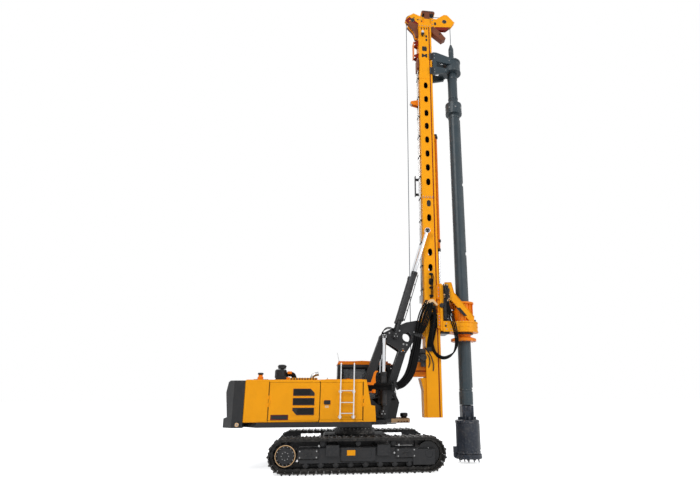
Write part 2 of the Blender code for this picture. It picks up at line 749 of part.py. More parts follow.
def cylinder_body(name, foot, eye, y, side, r, rod_r, length, neck, depth, parent,
                  slack):
    """A barrel and its rod between two pins, each on its own axis."""
    y = side * y
    barrel_axis = axis(name + "_barrel", parent, (foot[0], y, foot[1]))

    def at(distance):
        u, v = along(foot, eye, distance)
        return (u, y, v)
    full = math.dist(foot, eye)
    barrel = fuse(rod(at(neck), at(length), r, sides=16),
                  rod(at(0.04), at(neck + 0.02), 0.05, sides=10),
                  rod((foot[0], y - EYE_HALF, foot[1]), (foot[0], y + EYE_HALF, foot[1]),
                      0.105, sides=14))
    bore = rod(at(depth), at(length + 0.1), rod_r + TOUCH, sides=12)
    pin = rod((foot[0], y - 0.1, foot[1]), (foot[0], y + 0.1, foot[1]),
              PIN_HOLE_R, sides=12)
    node(name + "_barrel", cut(barrel, bore, pin), CHARCOAL, barrel_axis)
    rod_axis = axis(name + "_rod", barrel_axis, (eye[0], y, eye[1]))
    stem = rod(at(length - slack), at(full), rod_r, sides=12)
    boss = rod((eye[0], y - EYE_HALF, eye[1]), (eye[0], y + EYE_HALF, eye[1]),
               0.07 if name.startswith("luff") else 0.10, sides=14)
    node(name + "_rod", fuse(stem, boss), CHROME, rod_axis)


def luffing_gear():
    boom = axis("boom", SLEW, (BOOM_FOOT[0], 0, BOOM_FOOT[1]))
    tie = along(BOOM_FOOT, BOOM_TOP, 0.75)
    node("boom_arms", fuse(*arm_pair(BOOM_FOOT, BOOM_TOP, 0.14, 0.12, tie),
                           *side_pin(BOOM_FOOT, 0.14, 0.475),
                           *side_pin(BOOM_TOP, 0.14, 0.282)), CHARCOAL, boom)
    link = axis("link", SLEW, (LINK_FOOT[0], 0, LINK_FOOT[1]))
    tie = along(LINK_FOOT, LINK_TOP, 0.75)
    node("link_arms", fuse(*arm_pair(LINK_FOOT, LINK_TOP, 0.16, 0.12, tie),
                           *side_pin(LINK_FOOT, 0.14, 0.282),
                           *side_pin(LINK_TOP, 0.14, 0.282)), CHARCOAL, link)
    triangle = axis("triangle", boom, (BOOM_TOP[0], 0, BOOM_TOP[1]))
    triangle_plates(triangle)
    for side, name in ((-1, "right"), (1, "left")):
        cylinder_body("luff_cylinder_" + name, BOOM_FOOT, LINK_TOP, LUFF_Y, side,
                      0.105, 0.058, 1.25, 0.22, 0.40, SLEW, 0.42)
        cylinder_body("mast_cylinder_" + name, CYL_FOOT, CYL_EYE, MAST_CYL_Y, side,
                      0.095, 0.055, 2.28, 0.52, 0.62, triangle, 0.36)
    return triangle


TRIANGLE = (arc(LINK_TOP, 0.13, 110, 240, 6)
            + [(1.06, 3.72), (1.40, 3.50)]
            + arc(BOOM_TOP, 0.13, 195, 320, 6)
            + [(1.90, 3.80)]
            + arc(MAST_PIN, 0.15, -40, 50, 4)
            + [(2.02, 4.49), (1.64, 4.42), (1.15, 4.20)])


def triangle_plates(body):
    window = circle((1.68, 3.94), 0.16, 16)
    plates = both_sides(plate("XZ", EAR_Y0, EAR_Y1, TRIANGLE, window))
    ties = [rod((x, -EAR_Y0 - 0.02, z), (x, EAR_Y0 + 0.02, z), r, sides=16)
            for x, z, r in ((1.33, 3.74, 0.06), (1.40, 3.96, 0.05))]
    bosses = [both_sides(rod((x, EAR_Y1 - 0.02, z), (x, y - EYE_HALF - TOUCH, z), 0.103,
                             sides=14))
              for (x, z), y in ((CYL_FOOT, MAST_CYL_Y), (LINK_TOP, LUFF_Y))]
    frame = fuse(*plates, *ties, *bosses[0], *bosses[1],
                 *side_pin(CYL_FOOT, 0.25, 0.475), solver="MANIFOLD")
    holes = [rod((x, -0.4, z), (x, 0.4, z), PIN_HOLE_R, sides=12)
             for x, z in (BOOM_TOP, LINK_TOP, MAST_PIN)]
    node("triangle_plates", cut(frame, *holes, solver="MANIFOLD"), CHARCOAL, body)


TRIANGLE_BODY = luffing_gear()


# Mast

SHEAVE_R = 0.25
ROPE_R = 0.013
SHEAVE_REAR = (MAST_X0 - 0.21, MAST_Z1 + 0.45)
SHEAVE_FRONT = (KELLY_X - SHEAVE_R, MAST_Z1 + 0.51)
ROPE_REAR_X = SHEAVE_REAR[0] - SHEAVE_R
WINCH = (2.04, 3.25)
WINCH_R = 0.20
RAIL_Y0 = 0.18
WEB_Y = 0.245
DRUM_Y = 0.125
HOLE_X = MAST_X0 + 0.23
HOLE_Z = (6.34, 6.90, 8.19, 9.59, 10.17, 10.74, 11.32, 11.90, 12.46, 13.07, 13.68)


def mast_section():
    """The box and its two rails, seen from above."""
    rail = [(MAST_X1, WEB_Y), (RAIL_X0, WEB_Y), (RAIL_X0, MAST_Y),
            (RAIL_X1, MAST_Y), (RAIL_X1, RAIL_Y0), (MAST_X1, RAIL_Y0)]
    left = [(MAST_X0, MAST_Y), (MAST_X1, MAST_Y)] + rail
    right = [(x, -y) for x, y in reversed(left)]
    wall = 0.03
    hole = [(x, y) for x in (MAST_X0 + wall, MAST_X1 - wall)
            for y in (-MAST_Y + wall, MAST_Y - wall)]
    hole = [hole[0], hole[2], hole[3], hole[1]]
    return left + right, hole


def mast_piece(z0, z1):
    outline, hole = mast_section()
    return plate("XY", z0, z1, outline, hole)


def side_slots(z0, z1):
    slots = []
    for z in HOLE_Z:
        if z0 + 0.3 < z < z1 - 0.3:
            slots.append(plate("XZ", -0.4, 0.4, slot_outline((HOLE_X, z), 0.15, 0.28, 3)))
    return slots


def mast(body):
    lower = mast_piece(MAST_Z0, MAST_SPLIT - TOUCH)
    foot = plate("XZ", -0.22, 0.22, around(
        (MAST_X0, MAST_Z0), (-0.08, 0.0), (0.005, 0.0), (0.005, 1.23), (-0.19, 1.23),
        (-0.09, 0.85)))
    lugs = both_sides(plate("XZ", 0.15, ARM_Y1, arc(MAST_PIN, 0.13, 110, 250, 6)
                            + around((MAST_X0, MAST_PIN[1]), (0.01, -0.40), (0.01, 0.40))))
    pins = side_pin(MAST_PIN, 0.17, 0.282)
    eyes = both_sides(rod((CYL_EYE[0], 0.26, CYL_EYE[1]),
                          (CYL_EYE[0], MAST_CYL_Y - EYE_HALF - TOUCH, CYL_EYE[1]),
                          0.115, sides=16))
    lower = fuse(lower, foot, *lugs, *pins, *eyes)
    node("mast_lower", cut(lower, *side_slots(MAST_Z0, MAST_SPLIT)), YELLOW, body)
    upper = cut(mast_piece(MAST_SPLIT, MAST_Z1 - TOUCH),
                *side_slots(MAST_SPLIT, MAST_Z1))
    node("mast_upper", upper, YELLOW, body)


HEAD_PLATE = (
    around((MAST_X0, MAST_Z1), (0.0, 0.05))
    + around(SHEAVE_REAR, (-0.23, -0.18), (-0.31, -0.04), (-0.13, 0.22), (0.05, 0.35))
    + around((MAST_X0, MAST_Z1), (0.20, 0.65))
    + around(SHEAVE_FRONT, (-0.33, 0.10), (-0.01, 0.35), (0.13, 0.35), (0.44, 0.01),
             (0.27, -0.24), (-0.38, -0.30))
    + around((RAIL_X1, MAST_Z1), (0.0, 0.05)))


def mast_head(body):
    cheeks = both_sides(plate("XZ", 0.035 + TOUCH, 0.07, HEAD_PLATE))
    base = box((MAST_X0, RAIL_X1), (-MAST_Y, MAST_Y), (MAST_Z1, MAST_Z1 + 0.17))
    pins = [rod((x, -0.05, z), (x, 0.05, z), 0.04, sides=12)
            for x, z in (SHEAVE_REAR, SHEAVE_FRONT)]
    dome = box((MAST_X0 + 0.16, RAIL_X1 + 0.21), (-0.17, 0.17),
               (MAST_Z1 + 0.77, MAST_Z1 + 0.94), chamfer=0.05)
    post = box((MAST_X0 + 0.26, RAIL_X1 - 0.01), (-0.16, 0.16),
               (MAST_Z1 + 0.15, MAST_Z1 + 0.50))
    posts = both_sides(box((MAST_X0 + 0.28, RAIL_X1 - 0.02), (0.05, 0.155),
                           (MAST_Z1 + 0.45, MAST_Z1 + 0.80)))
    arm = plate("XZ", -0.13, 0.13, around(
        (RAIL_X1, MAST_Z1), (-0.03, 0.05), (0.12, 0.19), (0.41, -0.05), (0.64, -0.35),
        (0.48, -0.47), (0.02, -0.09), (0.02, 0.05)))
    braces = both_sides(plate("XZ", 0.05, 0.16, around(
        (MAST_X0, MAST_Z1), (-0.01, -0.40), (-0.01, 0.10), (0.06, 0.15), (-0.35, 0.31),
        (-0.42, 0.17), (-0.18, -0.10), (-0.10, -0.40))))
    node("mast_head", fuse(base, *cheeks, *pins, post, *posts, dome, arm, *braces),
         ORANGE, body)


def sheave(at):
    profile = [(0.285, 0.035), (0.285, 0.026), (0.232, 0.020), (0.232, -0.020),
               (0.285, -0.026), (0.285, -0.035), (0.046, -0.035), (0.046, 0.035),
               (0.285, 0.035)]
    wheel = turned(profile, (0, 0, 0), sides=20)
    turn = Matrix.Rotation(math.radians(90), 4, "X")
    wheel.data.transform(Matrix.Translation((at[0], 0, at[1])) @ turn)
    return wheel


def ropes(body, follower):
    """The main rope over both sheaves, and its run down to the swivel."""
    over_rear = arc(SHEAVE_REAR, SHEAVE_R, 180, 86, 6)
    over_front = arc(SHEAVE_FRONT, SHEAVE_R, 94, 0, 6)
    path = [(ROPE_REAR_X, WINCH[1] + 0.02)] + over_rear + over_front
    path += [(KELLY_X, ROPE_SPLIT)]
    node("rope_main", tube([(x, 0, z) for x, z in path], ROPE_R, 1), ROPE, body)
    run = rod((KELLY_X, 0, SWIVEL_TOP + TOUCH), (KELLY_X, 0, ROPE_SPLIT - TOUCH),
              ROPE_R, sides=8)
    node("rope_kelly", run, ROPE, follower)


ROPE_SPLIT = MAST_Z1 + 0.21
SWIVEL_TOP = FOLLOWER_Z1 + 0.77


def winch(body):
    back = MAST_X0 - TOUCH
    x, z = WINCH
    cheeks = both_sides(plate("XZ", DRUM_Y + TOUCH, 0.165, arc(WINCH, 0.14, 110, 250, 6)
                              + [(back, z - 0.35), (back, z + 0.37)]))
    floor = box((x - 0.30, back), (-0.22, 0.22), (z - 0.59, z - 0.53))
    drop = both_sides(box((x - 0.09, back), (0.137, 0.163), (z - 0.57, z - 0.15)))
    shaft = rod((WINCH[0], -0.15, WINCH[1]), (WINCH[0], 0.15, WINCH[1]), 0.04,
                sides=12)
    lip = box((x - 0.30, x - 0.26), (-0.22, 0.22), (z - 0.55, z - 0.45))
    node("winch_frame", fuse(*cheeks, *drop, floor, lip, shaft), ORANGE, body)
    drum_axis = axis("winch_drum", body, (WINCH[0], 0, WINCH[1]))
    core = rod((x, -DRUM_Y + 0.005, z), (x, DRUM_Y - 0.005, z), 0.15)
    flanges = [rod((x, y, z), (x, y + 0.015, z), WINCH_R)
               for y in (-DRUM_Y, DRUM_Y - 0.015)]
    bore = rod((WINCH[0], -0.2, WINCH[1]), (WINCH[0], 0.2, WINCH[1]), 0.046, sides=12)
    node("winch_drum", cut(fuse(core, *flanges), bore), CHARCOAL, drum_axis)


CROWD_X = 2.91
CROWD_Z0 = 7.02
CROWD_Z1 = 11.70


def crowd_cylinder(body):
    barrel = rod((CROWD_X, 0, CROWD_Z0), (CROWD_X, 0, CROWD_Z1), 0.062, sides=16)
    clamps = [box((MAST_X1 + TOUCH, CROWD_X), (-0.07, 0.07), (z - 0.07, z + 0.07))
              for z in (CROWD_Z0 + 0.38, CROWD_Z1 - 0.15)]
    bore = rod((CROWD_X, 0, CROWD_Z0 - 0.1), (CROWD_X, 0, CROWD_Z1 - 0.06), 0.036 + TOUCH,
               sides=16)
    node("crowd_barrel", cut(fuse(barrel, *clamps), bore), CHARCOAL, body)


MAST_BODY = axis("mast", TRIANGLE_BODY, (MAST_PIN[0], 0, MAST_PIN[1]))
mast(MAST_BODY)
mast_head(MAST_BODY)
for sheave_name, place in (("rear", SHEAVE_REAR), ("front", SHEAVE_FRONT)):
    sheave_axis = axis("sheave_" + sheave_name, MAST_BODY, (place[0], 0, place[1]))
    node("sheave_" + sheave_name, sheave(place), CHARCOAL, sheave_axis)
winch(MAST_BODY)
crowd_cylinder(MAST_BODY)


# Kelly drive, follower, kelly bar and bucket

SLEEVE_R = 0.293


def rail_shoes(z0, z1, front, y_out):
    """Guides that reach round the outside of both rails."""
    gap = TOUCH
    shoes = []
    for side in (-1, 1):
        shoes.append(box((MAST_X1 + 0.009, front), span(side, MAST_Y + gap, y_out),
                         (z0, z1)))
        shoes.append(box((MAST_X1 + 0.009, RAIL_X0 - gap),
                         span(side, 0.252, MAST_Y + 0.02), (z0, z1)))
    return shoes


def drive(body):
    front = RAIL_X1 + 0.09
    low, high, top = DRIVE_Z0, DRIVE_Z1, PANEL_TOP
    panel = box((RAIL_X1 + TOUCH, front), (-0.385, 0.385), (low + 0.03, top))
    shoes = (rail_shoes(low + 0.13, low + 0.63, front - 0.01, 0.34)
             + rail_shoes(top - 0.50, top - 0.05, front - 0.01, 0.34))
    braces = both_sides(plate("XZ", 0.33, 0.38, around(
        (front, top), (-0.01, -0.70), (-0.01, -0.05), (0.12, 0.05), (0.32, 0.05),
        (0.40, -0.30)) + around((KELLY_X, high), (0.30, 0.15), (0.30, -0.01), (0.16, -0.01))
        + [(front + 0.30, top - 0.55)]))
    gearbox = rod((KELLY_X, 0, low), (KELLY_X, 0, high), DRIVE_R, sides=28)
    neck = box((front - 0.01, KELLY_X - 0.08), (-0.42, 0.42), (low, high))
    motors = [rod((front + 0.19, y, high - 0.02), (front + 0.19, y, high + 0.53), 0.12,
                  sides=16) for y in (-0.14, 0.14)]
    frame = fuse(panel, *shoes, neck, gearbox, *braces, *motors)
    bore = rod((KELLY_X, 0, low - 0.12), (KELLY_X, 0, high + 0.13), SLEEVE_R + 0.009,
               sides=24)
    node("rotary_drive", cut(frame, bore), YELLOW, body)
    stem = rod((CROWD_X, 0, top + TOUCH), (CROWD_X, 0, CROWD_ROD_Z1), 0.036, sides=16)
    boss = rod((CROWD_X, 0, top + TOUCH), (CROWD_X, 0, top + 0.05), 0.06, sides=16)
    node("crowd_rod", fuse(stem, boss), CHROME, body)
    sleeve_axis = axis("drive_sleeve", body, (KELLY_X, 0, 4.3))
    bore_r = KELLY_R + 0.025
    profile = [(bore_r, high + 0.69), (0.32, high + 0.69), (0.32, high + TOUCH),
               (SLEEVE_R, high + TOUCH), (SLEEVE_R, low - 0.07), (0.25, low - 0.09),
               (0.25, low - 0.14), (0.43, low - 0.20), (0.43, low - 0.29),
               (bore_r, low - 0.29), (bore_r, high + 0.69)]
    sleeve = turned(profile, (KELLY_X, 0, 0), sides=24)
    node("drive_sleeve", sleeve, ORANGE, sleeve_axis)


def follower(body):
    low, high = FOLLOWER_Z0, FOLLOWER_Z1
    shoes = (rail_shoes(low - 0.24, low + 0.04, RAIL_X1 + 0.05, 0.34)
             + rail_shoes(high - 0.15, high + 0.13, RAIL_X1 + 0.05, 0.34))
    plates = both_sides(plate("XZ", 0.23, 0.33, (
        around((RAIL_X1, low), (0.02, -0.26))
        + around((KELLY_X, low), (-0.28, -0.12), (-0.28, 0.04))
        + around((RAIL_X1, low), (0.17, 0.10), (0.17, 0.34))
        + around((KELLY_X, high), (-0.30, -0.30), (-0.06, -0.30), (-0.06, -0.03))
        + around((RAIL_X1, high), (0.18, 0.18), (0.02, 0.18)))))
    ring = rod((KELLY_X, 0, low), (KELLY_X, 0, high), 0.335, sides=24)
    lower = box((KELLY_X - 0.52, KELLY_X - 0.21), (-0.31, 0.31), (low - 0.02, low + 0.06))
    swivel = rod((KELLY_X, 0, high - 0.03), (KELLY_X, 0, high + 0.47), 0.10, sides=14)
    tip = rod((KELLY_X, 0, high + 0.37), (KELLY_X, 0, SWIVEL_TOP), 0.09, 0.04, sides=10)
    frame = fuse(ring, *plates, *shoes, lower, swivel, tip)
    bore = rod((KELLY_X, 0, low - 0.16), (KELLY_X, 0, high - 0.07), 0.136, sides=18)
    node("kelly_follower", cut(frame, bore), SLATE, body)


STUB_HALF = 0.11
STUB_Z0 = KELLY_Z0 - 0.17


def kelly_bar(body):
    top, seat, knuckle = FOLLOWER_Z1 - 0.13, FOLLOWER_Z0 - TOUCH, KELLY_Z1 + 0.48
    profile = [(0.0, top), (0.125, top), (0.125, seat), (0.185, seat),
               (0.185, knuckle + 0.02), (0.315, knuckle), (0.315, KELLY_Z1 + 0.02),
               (KELLY_R, KELLY_Z1), (KELLY_R, KELLY_Z0 + 0.43), (0.228, KELLY_Z0 + 0.41),
               (0.228, KELLY_Z0), (0.0, KELLY_Z0)]
    bar = turned(profile, (KELLY_X, 0, 0), sides=20)
    stub = box((KELLY_X - STUB_HALF, KELLY_X + STUB_HALF), (-STUB_HALF, STUB_HALF),
               (STUB_Z0, KELLY_Z0 + 0.03))
    node("kelly_bar", fuse(bar, stub), SLATE, body)


LID_HINGE = (KELLY_X - BUCKET_R - 0.065, BUCKET_Z0 + 0.12)


def bucket(body):
    """An open drilling bucket under its square socket."""
    gap = TOUCH
    wall = rod((KELLY_X, 0, BUCKET_Z0), (KELLY_X, 0, BUCKET_Z1), BUCKET_R, sides=24)
    inside = rod((KELLY_X, 0, BUCKET_Z0 - 0.18), (KELLY_X, 0, BUCKET_Z1 - 0.05),
                 BUCKET_R - 0.025, sides=24)
    seat = BUCKET_Z1 - 0.03
    socket = box((KELLY_X - 0.19, KELLY_X + 0.19), (-0.19, 0.19),
                 (seat, KELLY_Z0 - 0.01), 0.02)
    bars = [box((KELLY_X - x, KELLY_X + x), (-y, y), (seat, seat + 0.13))
            for x, y in ((BUCKET_R - 0.08, 0.03), (0.03, BUCKET_R - 0.08))]
    ears = [box((LID_HINGE[0] - 0.04, KELLY_X - BUCKET_R + 0.02),
                span(side, 0.035 + TOUCH, 0.07), (LID_HINGE[1] - 0.08, LID_HINGE[1] + 0.10))
            for side in (-1, 1)]
    pin = rod((LID_HINGE[0], -0.06, LID_HINGE[1]), (LID_HINGE[0], 0.06, LID_HINGE[1]),
              0.02, sides=12)
    half = STUB_HALF + gap
    hole = box((KELLY_X - half, KELLY_X + half), (-half, half),
               (STUB_Z0 - gap, KELLY_Z0 + 0.13))
    shell = fuse(cut(wall, inside), socket, *bars, *ears, pin)
    node("bucket_body", cut(shell, hole), NAVY, body)
    hinge_x, hinge_z = LID_HINGE
    lid = axis("bucket_bottom", body, (hinge_x, 0, hinge_z))
    disc = rod((KELLY_X, 0, BUCKET_Z0 - 0.14), (KELLY_X, 0, BUCKET_Z0 - CLEAR),
               BUCKET_R + 0.045, sides=24)
    mouth = plate("XY", BUCKET_Z0 - 0.28, BUCKET_Z0 + 0.12, [(KELLY_X - 0.08, -0.06), (KELLY_X + 0.02, -0.32),
                                   (KELLY_X + 0.26, -0.22), (KELLY_X + 0.10, -0.04)])
    strap = plate("XZ", -0.035, 0.035,
                  around((KELLY_X - BUCKET_R, BUCKET_Z0), (0.02, -0.13), (0.02, -0.06),
                         (-0.02, -0.008)) + arc(LID_HINGE, 0.045, 0, 180, 6)
                  + around((hinge_x, BUCKET_Z0), (-0.045, -0.08), (0.0, -0.13)))
    strap_hole = rod((hinge_x, -0.1, hinge_z), (hinge_x, 0.1, hinge_z), 0.026,
                     sides=12)
    teeth = [rod((KELLY_X + x, y, BUCKET_Z0 - 0.12),
                 (KELLY_X + x + 0.03, y, BUCKET_Z0 - 0.26), 0.035, 0.012, sides=8)
             for x, y in ((-0.28, 0.12), (-0.14, 0.06), (0.14, -0.06), (0.28, -0.12))]
    pilot = rod((KELLY_X, 0, BUCKET_Z0 - 0.13), (KELLY_X, 0, BUCKET_Z0 - 0.28),
                0.05, 0.01, sides=10)
    bottom = fuse(cut(disc, mouth), cut(strap, strap_hole), *teeth, pilot)
    node("bucket_bottom", bottom, NAVY, lid)


DRIVE_BODY = axis("crowd", MAST_BODY, (MAST_X1, 0, 4.9))
drive(DRIVE_BODY)
HOIST = axis("kelly_hoist", MAST_BODY, (MAST_X1, 0, 14.7))
follower(HOIST)
ropes(MAST_BODY, HOIST)
SPIN = axis("kelly_spin", HOIST, (KELLY_X, 0, 14.7))
kelly_bar(SPIN)
bucket(SPIN)
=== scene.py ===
"""The looks of the rotary piling rig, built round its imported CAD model.

Places are written from the slewing axis and the ground, in metres, as in
the part's source: +X to the mast, +Y to the machine's left, +Z up.
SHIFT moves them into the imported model's frame.
"""

import math

import bmesh
import bpy
from mathutils import Matrix, Vector


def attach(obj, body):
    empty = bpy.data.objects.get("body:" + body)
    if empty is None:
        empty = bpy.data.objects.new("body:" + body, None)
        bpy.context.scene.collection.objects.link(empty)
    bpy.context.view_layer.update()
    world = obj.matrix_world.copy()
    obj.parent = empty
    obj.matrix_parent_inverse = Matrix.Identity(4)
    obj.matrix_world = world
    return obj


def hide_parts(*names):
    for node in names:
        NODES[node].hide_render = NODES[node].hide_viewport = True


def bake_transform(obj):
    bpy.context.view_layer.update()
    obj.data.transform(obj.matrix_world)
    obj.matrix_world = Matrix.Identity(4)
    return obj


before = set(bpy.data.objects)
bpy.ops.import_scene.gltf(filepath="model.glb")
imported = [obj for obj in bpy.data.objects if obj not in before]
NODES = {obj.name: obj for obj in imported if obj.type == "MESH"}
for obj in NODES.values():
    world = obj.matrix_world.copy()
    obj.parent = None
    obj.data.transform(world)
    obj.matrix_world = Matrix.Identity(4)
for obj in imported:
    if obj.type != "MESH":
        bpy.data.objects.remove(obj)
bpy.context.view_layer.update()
SHIFT = -0.16


# Camera at the photograph's angle

SENSOR_WIDTH = 36.0
FOCAL_LENGTH = 25.79
LENS_SHIFT = -0.0583
CAMERA_PLACE = (-1.24, -16.93, 2.06)
CAMERA_PITCH = math.radians(16.80)
CAMERA_YAW = math.radians(7.58)
CAMERA_ROLL = math.radians(-0.15)


def add_object(name, data):
    """Puts a new object with this mesh, camera or lamp into the scene."""
    obj = bpy.data.objects.new(name, data)
    bpy.context.scene.collection.objects.link(obj)
    return obj


def make_camera():
    """Sets the camera up as the photograph's was."""
    data = bpy.data.cameras.new("camera")
    data.sensor_width = SENSOR_WIDTH
    data.lens = FOCAL_LENGTH
    data.shift_x = LENS_SHIFT
    camera = add_object("camera", data)
    forward = Vector((math.sin(CAMERA_YAW) * math.cos(CAMERA_PITCH),
                      math.cos(CAMERA_YAW) * math.cos(CAMERA_PITCH),
                      math.sin(CAMERA_PITCH)))
    turn = forward.to_track_quat("-Z", "Y").to_matrix().to_4x4()
    roll = Matrix.Rotation(CAMERA_ROLL, 4, "Z")
    camera.matrix_world = Matrix.Translation(CAMERA_PLACE) @ turn @ roll
    bpy.context.scene.camera = camera


make_camera()


# Materials

# Scale, detail and roughness of the noises that the surfaces share
DUST_NOISE = (3.4, 8.0, 0.65)
CHIP_NOISE = (14.0, 6.0, 0.7)
SMEAR_NOISE = (5.5, 6.0, 0.6)
ROUGHNESS_SPREAD = 0.09
BUMP_STRENGTH = 0.35
COAT_ROUGHNESS = 0.15


def link(tree, a, a_socket, b, b_socket):
    """Joins an output of node a to an input of node b."""
    tree.links.new(a.outputs[a_socket], b.inputs[b_socket])


def color_output(node):
    """The node's first colour output."""
    return [s for s in node.outputs if s.type == "RGBA"][0]


def noise(tree, place, scale, detail, roughness=0.55):
    """A noise texture in the object's own coordinates."""
    node = tree.nodes.new("ShaderNodeTexNoise")
    node.inputs["Scale"].default_value = scale
    node.inputs["Detail"].default_value = detail
    node.inputs["Roughness"].default_value = roughness
    link(tree, place, "Object", node, "Vector")
    return node


def ramp(tree, source, stops, socket="Fac"):
    """A colour ramp from (position, colour) stops, fed by an output."""
    node = tree.nodes.new("ShaderNodeValToRGB")
    elements = node.color_ramp.elements
    while len(elements) < len(stops):
        elements.new(0.5)
    for element, (position, value) in zip(elements, stops):
        element.position = position
        element.color = (*value, 1.0)
    link(tree, source, socket, node, "Fac")
    return node


def blended(tree, factor, factor_socket, a, b):
    """Mixes two colours or two ramps by a factor's output."""
    node = tree.nodes.new("ShaderNodeMix")
    node.data_type = "RGBA"
    link(tree, factor, factor_socket, node, "Factor")
    for name, value in (("A", a), ("B", b)):
        socket = [s for s in node.inputs if s.name == name and s.type == "RGBA"][0]
        if isinstance(value, tuple):
            socket.default_value = (*value, 1.0)
        else:
            tree.links.new(color_output(value), socket)
    return node


def shade(color, share):
    """The colour made lighter or darker by a share."""
    return tuple(min(1.0, c * share) for c in color)


def surface(name, color, roughness, metallic=0.0, coat=0.0, grain=900.0,
            grain_depth=0.0004, blotch=1.6, vary=0.12, dust=None, dust_share=0.0,
            wear=None, shine=0.5):
    """A painted or metal surface: two scales of colour, dust, bump and worn edges."""
    mat = bpy.data.materials.new(name)
    mat.use_nodes = True
    tree = mat.node_tree
    shader = tree.nodes["Principled BSDF"]
    place = tree.nodes.new("ShaderNodeTexCoord")
    broad = noise(tree, place, blotch, 5.0)
    last = ramp(tree, broad, ((0.25, shade(color, 1 - vary)), (0.75, shade(color, 1 + vary))))
    if dust:
        patches = noise(tree, place, *DUST_NOISE)
        where = ramp(tree, patches, ((0.5 - 0.1 * dust_share, (0, 0, 0)),
                                     (0.72, (dust_share,) * 3)))
        last = blended(tree, where, "Color", last, dust)
    if wear:
        geometry = tree.nodes.new("ShaderNodeNewGeometry")
        chips = noise(tree, place, *CHIP_NOISE)
        edges = ramp(tree, geometry, ((0.53, (0, 0, 0)), (0.60, (1, 1, 1))), "Pointiness")
        spots = ramp(tree, chips, ((0.50, (0, 0, 0)), (0.62, (0.8, 0.8, 0.8))))
        both = tree.nodes.new("ShaderNodeMath")
        both.operation = "MULTIPLY"
        link(tree, edges, "Color", both, 0)
        link(tree, spots, "Color", both, 1)
        last = blended(tree, both, "Value", last, wear)
    tree.links.new(color_output(last), shader.inputs["Base Color"])
    fine = noise(tree, place, grain, 2.0)
    rough = tree.nodes.new("ShaderNodeMapRange")
    rough.inputs["To Min"].default_value = max(0.02, roughness - ROUGHNESS_SPREAD)
    rough.inputs["To Max"].default_value = roughness + ROUGHNESS_SPREAD
    smears = noise(tree, place, *SMEAR_NOISE)
    link(tree, smears, "Fac", rough, "Value")
    link(tree, rough, "Result", shader, "Roughness")
    bump = tree.nodes.new("ShaderNodeBump")
    bump.inputs["Strength"].default_value = BUMP_STRENGTH
    bump.inputs["Distance"].default_value = grain_depth
    link(tree, fine, "Fac", bump, "Height")
    link(tree, bump, "Normal", shader, "Normal")
    shader.inputs["Metallic"].default_value = metallic
    shader.inputs["Specular IOR Level"].default_value = shine
    shader.inputs["Coat Weight"].default_value = coat
    shader.inputs["Coat Roughness"].default_value = COAT_ROUGHNESS
    return mat


def glass(name, color, alpha):
    """Tinted glass as a thin sheet that lets light through."""
    mat = surface(name, color, 0.10, grain=3.0, grain_depth=0.0008, vary=0.05)
    shader = mat.node_tree.nodes["Principled BSDF"]
    shader.inputs["Alpha"].default_value = alpha
    shader.inputs["IOR"].default_value = 1.5
    shader.inputs["Coat Weight"].default_value = 0.6
    return mat


YELLOW = surface("yellow_gloss", (0.93, 0.360, 0.0010), 0.42, vary=0.05,
                 dust=(0.70, 0.26, 0.004), dust_share=0.2, shine=0.22)
ORANGE = surface("orange_gloss", (0.84, 0.215, 0.0015), 0.42, vary=0.10,
                 dust=(0.42, 0.09, 0.004), dust_share=0.3, shine=0.22)
CHARCOAL = surface("charcoal_satin", (0.0095, 0.0098, 0.0112), 0.44, shine=0.35,
                   vary=0.18, dust=(0.040, 0.034, 0.030), dust_share=0.25,
                   wear=(0.10, 0.09, 0.085))
SLATE = surface("slate_satin", (0.024, 0.039, 0.048), 0.44, shine=0.35, vary=0.16,
                dust=(0.070, 0.075, 0.075), dust_share=0.35, wear=(0.16, 0.17, 0.17))
NAVY = surface("bucket_satin", (0.012, 0.018, 0.030), 0.45, shine=0.35, vary=0.2,
               dust=(0.070, 0.062, 0.055), dust_share=0.4, wear=(0.16, 0.15, 0.15))
# Satin black paint; also the painted shade inside the mast and in the holes drawn as black plates
BLACK = surface("black_satin_and_shade", (0.0062, 0.0062, 0.0068), 0.40, shine=0.35, vary=0.15,
                dust=(0.025, 0.023, 0.021), dust_share=0.2)
RUBBER = surface("rubber", (0.0050, 0.0050, 0.0051), 0.75, vary=0.2, grain=500.0, shine=0.10,
                 dust=(0.014, 0.013, 0.012), dust_share=0.3)
STEEL = surface("bare_steel", (0.34, 0.34, 0.34), 0.36, metallic=1.0, vary=0.15,
                dust=(0.10, 0.08, 0.06), dust_share=0.4)
CHROME = surface("chrome_rod", (0.72, 0.73, 0.75), 0.11, metallic=1.0, vary=0.03,
                 grain=1500.0, grain_depth=0.0001)
TRACK = surface("track_steel", (0.020, 0.019, 0.018), 0.46, metallic=0.5, vary=0.3,
                blotch=4.0, dust=(0.050, 0.040, 0.032), dust_share=0.45,
                wear=(0.16, 0.15, 0.14))
ROPE = surface("wire_rope", (0.070, 0.085, 0.105), 0.5, metallic=0.3, grain=120.0,
               grain_depth=0.003)
LADDER = surface("ladder_alloy", (0.62, 0.63, 0.64), 0.32, metallic=0.9, vary=0.05)
SEAT = surface("seat_cloth", (0.030, 0.032, 0.038), 0.9, vary=0.2, grain=700.0,
               grain_depth=0.001)
# Red oxide paint, darkened also to serve as painted shade in the mast's rail groove and on the
# head's sheave plates
RED = surface("red_oxide_and_shade", (0.19, 0.012, 0.005), 0.5, vary=0.15, shine=0.2)
# Beige paint; also the painted glint round the sprockets
BEIGE = surface("beige_paint_and_glint", (0.78, 0.50, 0.26), 0.5, vary=0.1, shine=0.3)
